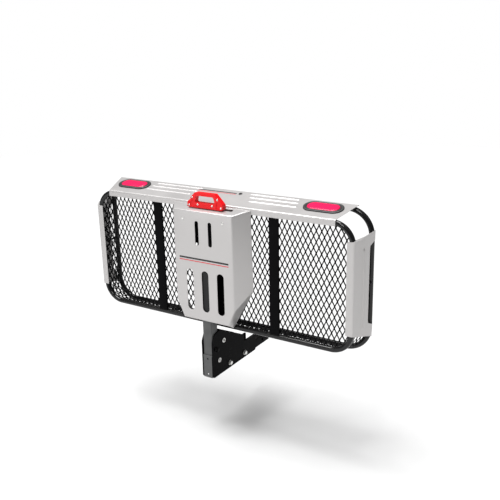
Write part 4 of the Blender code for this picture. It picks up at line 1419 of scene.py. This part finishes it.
class CARRIER_OT_release(bpy.types.Operator):
    """Builds the red handle with its screws, the pull rod, the plunger and the spring"""

    bl_idname = "carrier.release"
    bl_label = "Release"

    def execute(self, context):
        low, high = span("handle")
        front, back = low.y, high.y
        outline = [
            (-97.0, low.z), (97.0, low.z), (98.0, 606.0), (56.0, high.z - 2), (53.0, high.z),
            (-53.0, high.z), (-56.0, high.z - 2), (-80.0, 627.0), (-77.0, 622.0), (-98.0, 606.0),
        ]
        hand_hole = [
            (-54.0, 606.0), (54.0, 606.0), (52.0, 624.0), (46.0, 638.0), (-46.0, 638.0), (-52.0, 624.0),
        ]
        loops = [round_corners(outline, 7.0), round_corners(hand_hole, 5.0)]
        handle = slab(loops, along_y, front, back)
        pockets = bmesh.new()
        for sign in (-1, 1):
            wing = round_corners([(sign * 62.0, 589.0), (sign * 80.0, 589.0), (sign * 84.0, 603.0),
                                  (sign * 66.0, 618.0), (sign * 62.0, 612.0)], 3.0)
            add_slab(pockets, [wing], along_y, front - 5, front + 2.4)
        place_piece("red_handle_moulding", handle, "red_handle", "release", ["handle"], cutters=pockets,
                    bevel=2.4)

        for node in sorted(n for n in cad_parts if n.startswith("handle_screw")):
            centre = middle(node)
            build_screw(node.replace("handle_screw", "handle_pan_screw"), centre.x, centre.z, front, [node])
        for side, sign in SIDES:
            build_screw(f"handle_upper_screw_{side}", sign * 70.0, 629.0, front, ())

        rod_low, rod_high = span("pull_rod")
        rod_x, rod_y = middle("pull_rod").x, middle("pull_rod").y
        rod = bmesh.new()
        profile = [(2.4, rod_low.z), (3.0, rod_low.z + 0.8), (3.0, rod_high.z - 22), (2.6, rod_high.z - 21.5)]
        profile += [(3.0 if i % 2 else 2.5, rod_high.z - 20 + i * 0.5) for i in range(39)]
        profile.append((2.3, rod_high.z))
        add_turned(rod, profile, rod_x, rod_y, along_z, 20)
        place_piece("release_pull_rod", rod, "bright_steel", "release", ["pull_rod"])

        tip, shoulder = span("lock_plunger")
        plunger = bmesh.new()
        profile = [(3.2, tip.z), (4.5, tip.z + 1.6), (4.5, shoulder.z - 3.0), (3.9, shoulder.z - 2.6),
                   (3.9, shoulder.z - 1.4), (4.5, shoulder.z - 1.0), (4.2, shoulder.z)]
        add_turned(plunger, profile, rod_x, rod_y, along_z, 28)
        place_piece("release_plunger", plunger, "bright_steel", "release", ["lock_plunger"])
        keep_frame_node("rod_collar", "bright_steel")

        low, high = span("return_spring")
        bottom, top = low.z + WIRE_R, high.z - WIRE_R
        turns, per_turn = COIL_TURNS, 28
        path = []
        for i in range(round(turns * per_turn) + 1):
            rise = i / (turns * per_turn)
            angle = 2 * math.pi * i / per_turn
            path.append(Vector((rod_x + COIL_R * math.cos(angle), rod_y + COIL_R * math.sin(angle),
                                bottom + (top - bottom) * rise)))
        spring = bmesh.new()
        add_sweep(spring, path, WIRE_R, 10)
        coil = place_piece("release_return_spring", spring, "bright_steel", "basket", ["return_spring"])
        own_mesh(coil)
        return {"FINISHED"}


# ---------------------------------------------------------------- stage

def soft_light(name, at, aim, size, power, tint=(1.0, 1.0, 1.0)):
    data = bpy.data.lights.new(name, "AREA")
    data.shape = "RECTANGLE"
    data.size, data.size_y = size
    data.energy = power
    data.color = tint
    lamp = bpy.data.objects.new(name, data)
    lamp.location = at
    lamp.rotation_euler = (Vector(aim) - Vector(at)).to_track_quat("-Z", "Y").to_euler()
    bpy.context.scene.collection.objects.link(lamp)


class CARRIER_OT_stage(bpy.types.Operator):
    """Sets up the pale floor, the soft lights and the camera"""

    bl_idname = "carrier.stage"
    bl_label = "Stage"

    def execute(self, context):
        settings = context.scene.carrier_stage
        drop = (CAD_BOUNDS[0].z - settings.floor_drop - ORIGIN.z) / MM
        floor = slab([circle(0.0, 0.0, 9000.0, 96)], along_z, drop - 20.0, drop)
        material = coated_finish(
            "Pale floor", tuple(settings.floor_colour), 0.7, grain=40.0, bump=0.02, vary=0.01
        )
        raw_piece("pale_floor", floor, material)

        world = bpy.data.worlds.new("Pale room")
        world.use_nodes = True
        room = world.node_tree
        seen = add_node(room, "ShaderNodeLightPath")
        strength = add_node(room, "ShaderNodeMapRange", {"To Min": 0.16 * settings.light, "To Max": 1.0})
        room.links.new(seen.outputs["Is Camera Ray"], strength.inputs["Value"])
        room.links.new(strength.outputs["Result"], room.nodes["Background"].inputs["Strength"])
        room.nodes["Background"].inputs["Color"].default_value = (1.0, 1.0, 1.0, 1.0)
        context.scene.world = world

        power = settings.light
        sky = bpy.data.lights.new("Sky panel", "SUN")
        sky.energy, sky.angle = 5.4 * power, math.radians(40)
        panel = bpy.data.objects.new("Sky panel", sky)
        panel.rotation_euler = Vector((0.22, 0.12, -1.0)).to_track_quat("-Z", "Y").to_euler()
        context.scene.collection.objects.link(panel)
        soft_light("Rear left", (-1.8, -3.6, 1.2), (0.0, -0.4, 0.5), (2.2, 2.0), 18 * power)
        soft_light("High rear", (0.9, -2.7, 3.0), (0.1, -0.4, 0.6), (0.7, 0.7), 26 * power)
        soft_light("Right rim", (2.6, 0.6, 2.6), (0.7, -0.3, 0.7), (0.3, 0.9), 1.5 * power)
        context.scene.view_settings.view_transform = "Standard"

        yaw, pitch, roll = math.radians(32.58), math.radians(17.21), math.radians(-1.25)
        level = math.cos(pitch)
        forward = Vector((-math.sin(yaw) * level, math.cos(yaw) * level, -math.sin(pitch)))
        right = Vector((math.cos(yaw), math.sin(yaw), 0.0))
        up = right.cross(forward)
        across = right * math.cos(roll) + up * math.sin(roll)
        upward = up * math.cos(roll) - right * math.sin(roll)
        data = bpy.data.cameras.new("Camera")
        data.lens = 51.93
        camera = bpy.data.objects.new("Camera", data)
        turn = Matrix((across, upward, -forward)).transposed().to_4x4()
        camera.matrix_world = Matrix.Translation(Vector((1880.5, -2636.2, 1366.0)) * MM + ORIGIN) @ turn
        context.scene.collection.objects.link(camera)
        context.scene.camera = camera
        return {"FINISHED"}


# ---------------------------------------------------------------- add-on

OPERATORS = (
    CARRIER_OT_hitch_bracket,
    CARRIER_OT_post,
    CARRIER_OT_basket_frame,
    CARRIER_OT_mesh_panels,
    CARRIER_OT_covers,
    CARRIER_OT_shield,
    CARRIER_OT_graphics,
    CARRIER_OT_lamps,
    CARRIER_OT_release,
    CARRIER_OT_stage,
)


class CARRIER_PT_build(bpy.types.Panel):
    """Lists the build steps and the sizes and colours that they use"""

    bl_idname = "CARRIER_PT_build"
    bl_label = "Hitch cargo carrier"
    bl_space_type = "VIEW_3D"
    bl_region_type = "UI"
    bl_category = "Carrier"

    def draw(self, context):
        for group in SETTINGS:
            box = self.layout.box()
            for name in SETTINGS[group].__annotations__:
                box.prop(getattr(context.scene, group), name)
        for operator in OPERATORS:
            self.layout.operator(operator.bl_idname)


SETTINGS = {
    "carrier_frame": CarrierFrameSettings,
    "carrier_panels": CarrierPanelSettings,
    "carrier_fittings": CarrierFittingSettings,
    "carrier_stage": CarrierStageSettings,
}


def register():
    for name, group in SETTINGS.items():
        bpy.utils.register_class(group)
        setattr(bpy.types.Scene, name, bpy.props.PointerProperty(type=group))
    for kind in (*OPERATORS, CARRIER_PT_build):
        bpy.utils.register_class(kind)


def unregister():
    for kind in (CARRIER_PT_build, *reversed(OPERATORS)):
        bpy.utils.unregister_class(kind)
    for name, group in SETTINGS.items():
        delattr(bpy.types.Scene, name)
        bpy.utils.unregister_class(group)


def main():
    register()
    bpy.ops.carrier.hitch_bracket()
    bpy.ops.carrier.post()
    bpy.ops.carrier.basket_frame()
    bpy.ops.carrier.mesh_panels()
    bpy.ops.carrier.covers()
    bpy.ops.carrier.shield()
    bpy.ops.carrier.graphics()
    bpy.ops.carrier.lamps()
    bpy.ops.carrier.release()
    bpy.ops.carrier.stage()


if __name__ == "__main__":
    main()
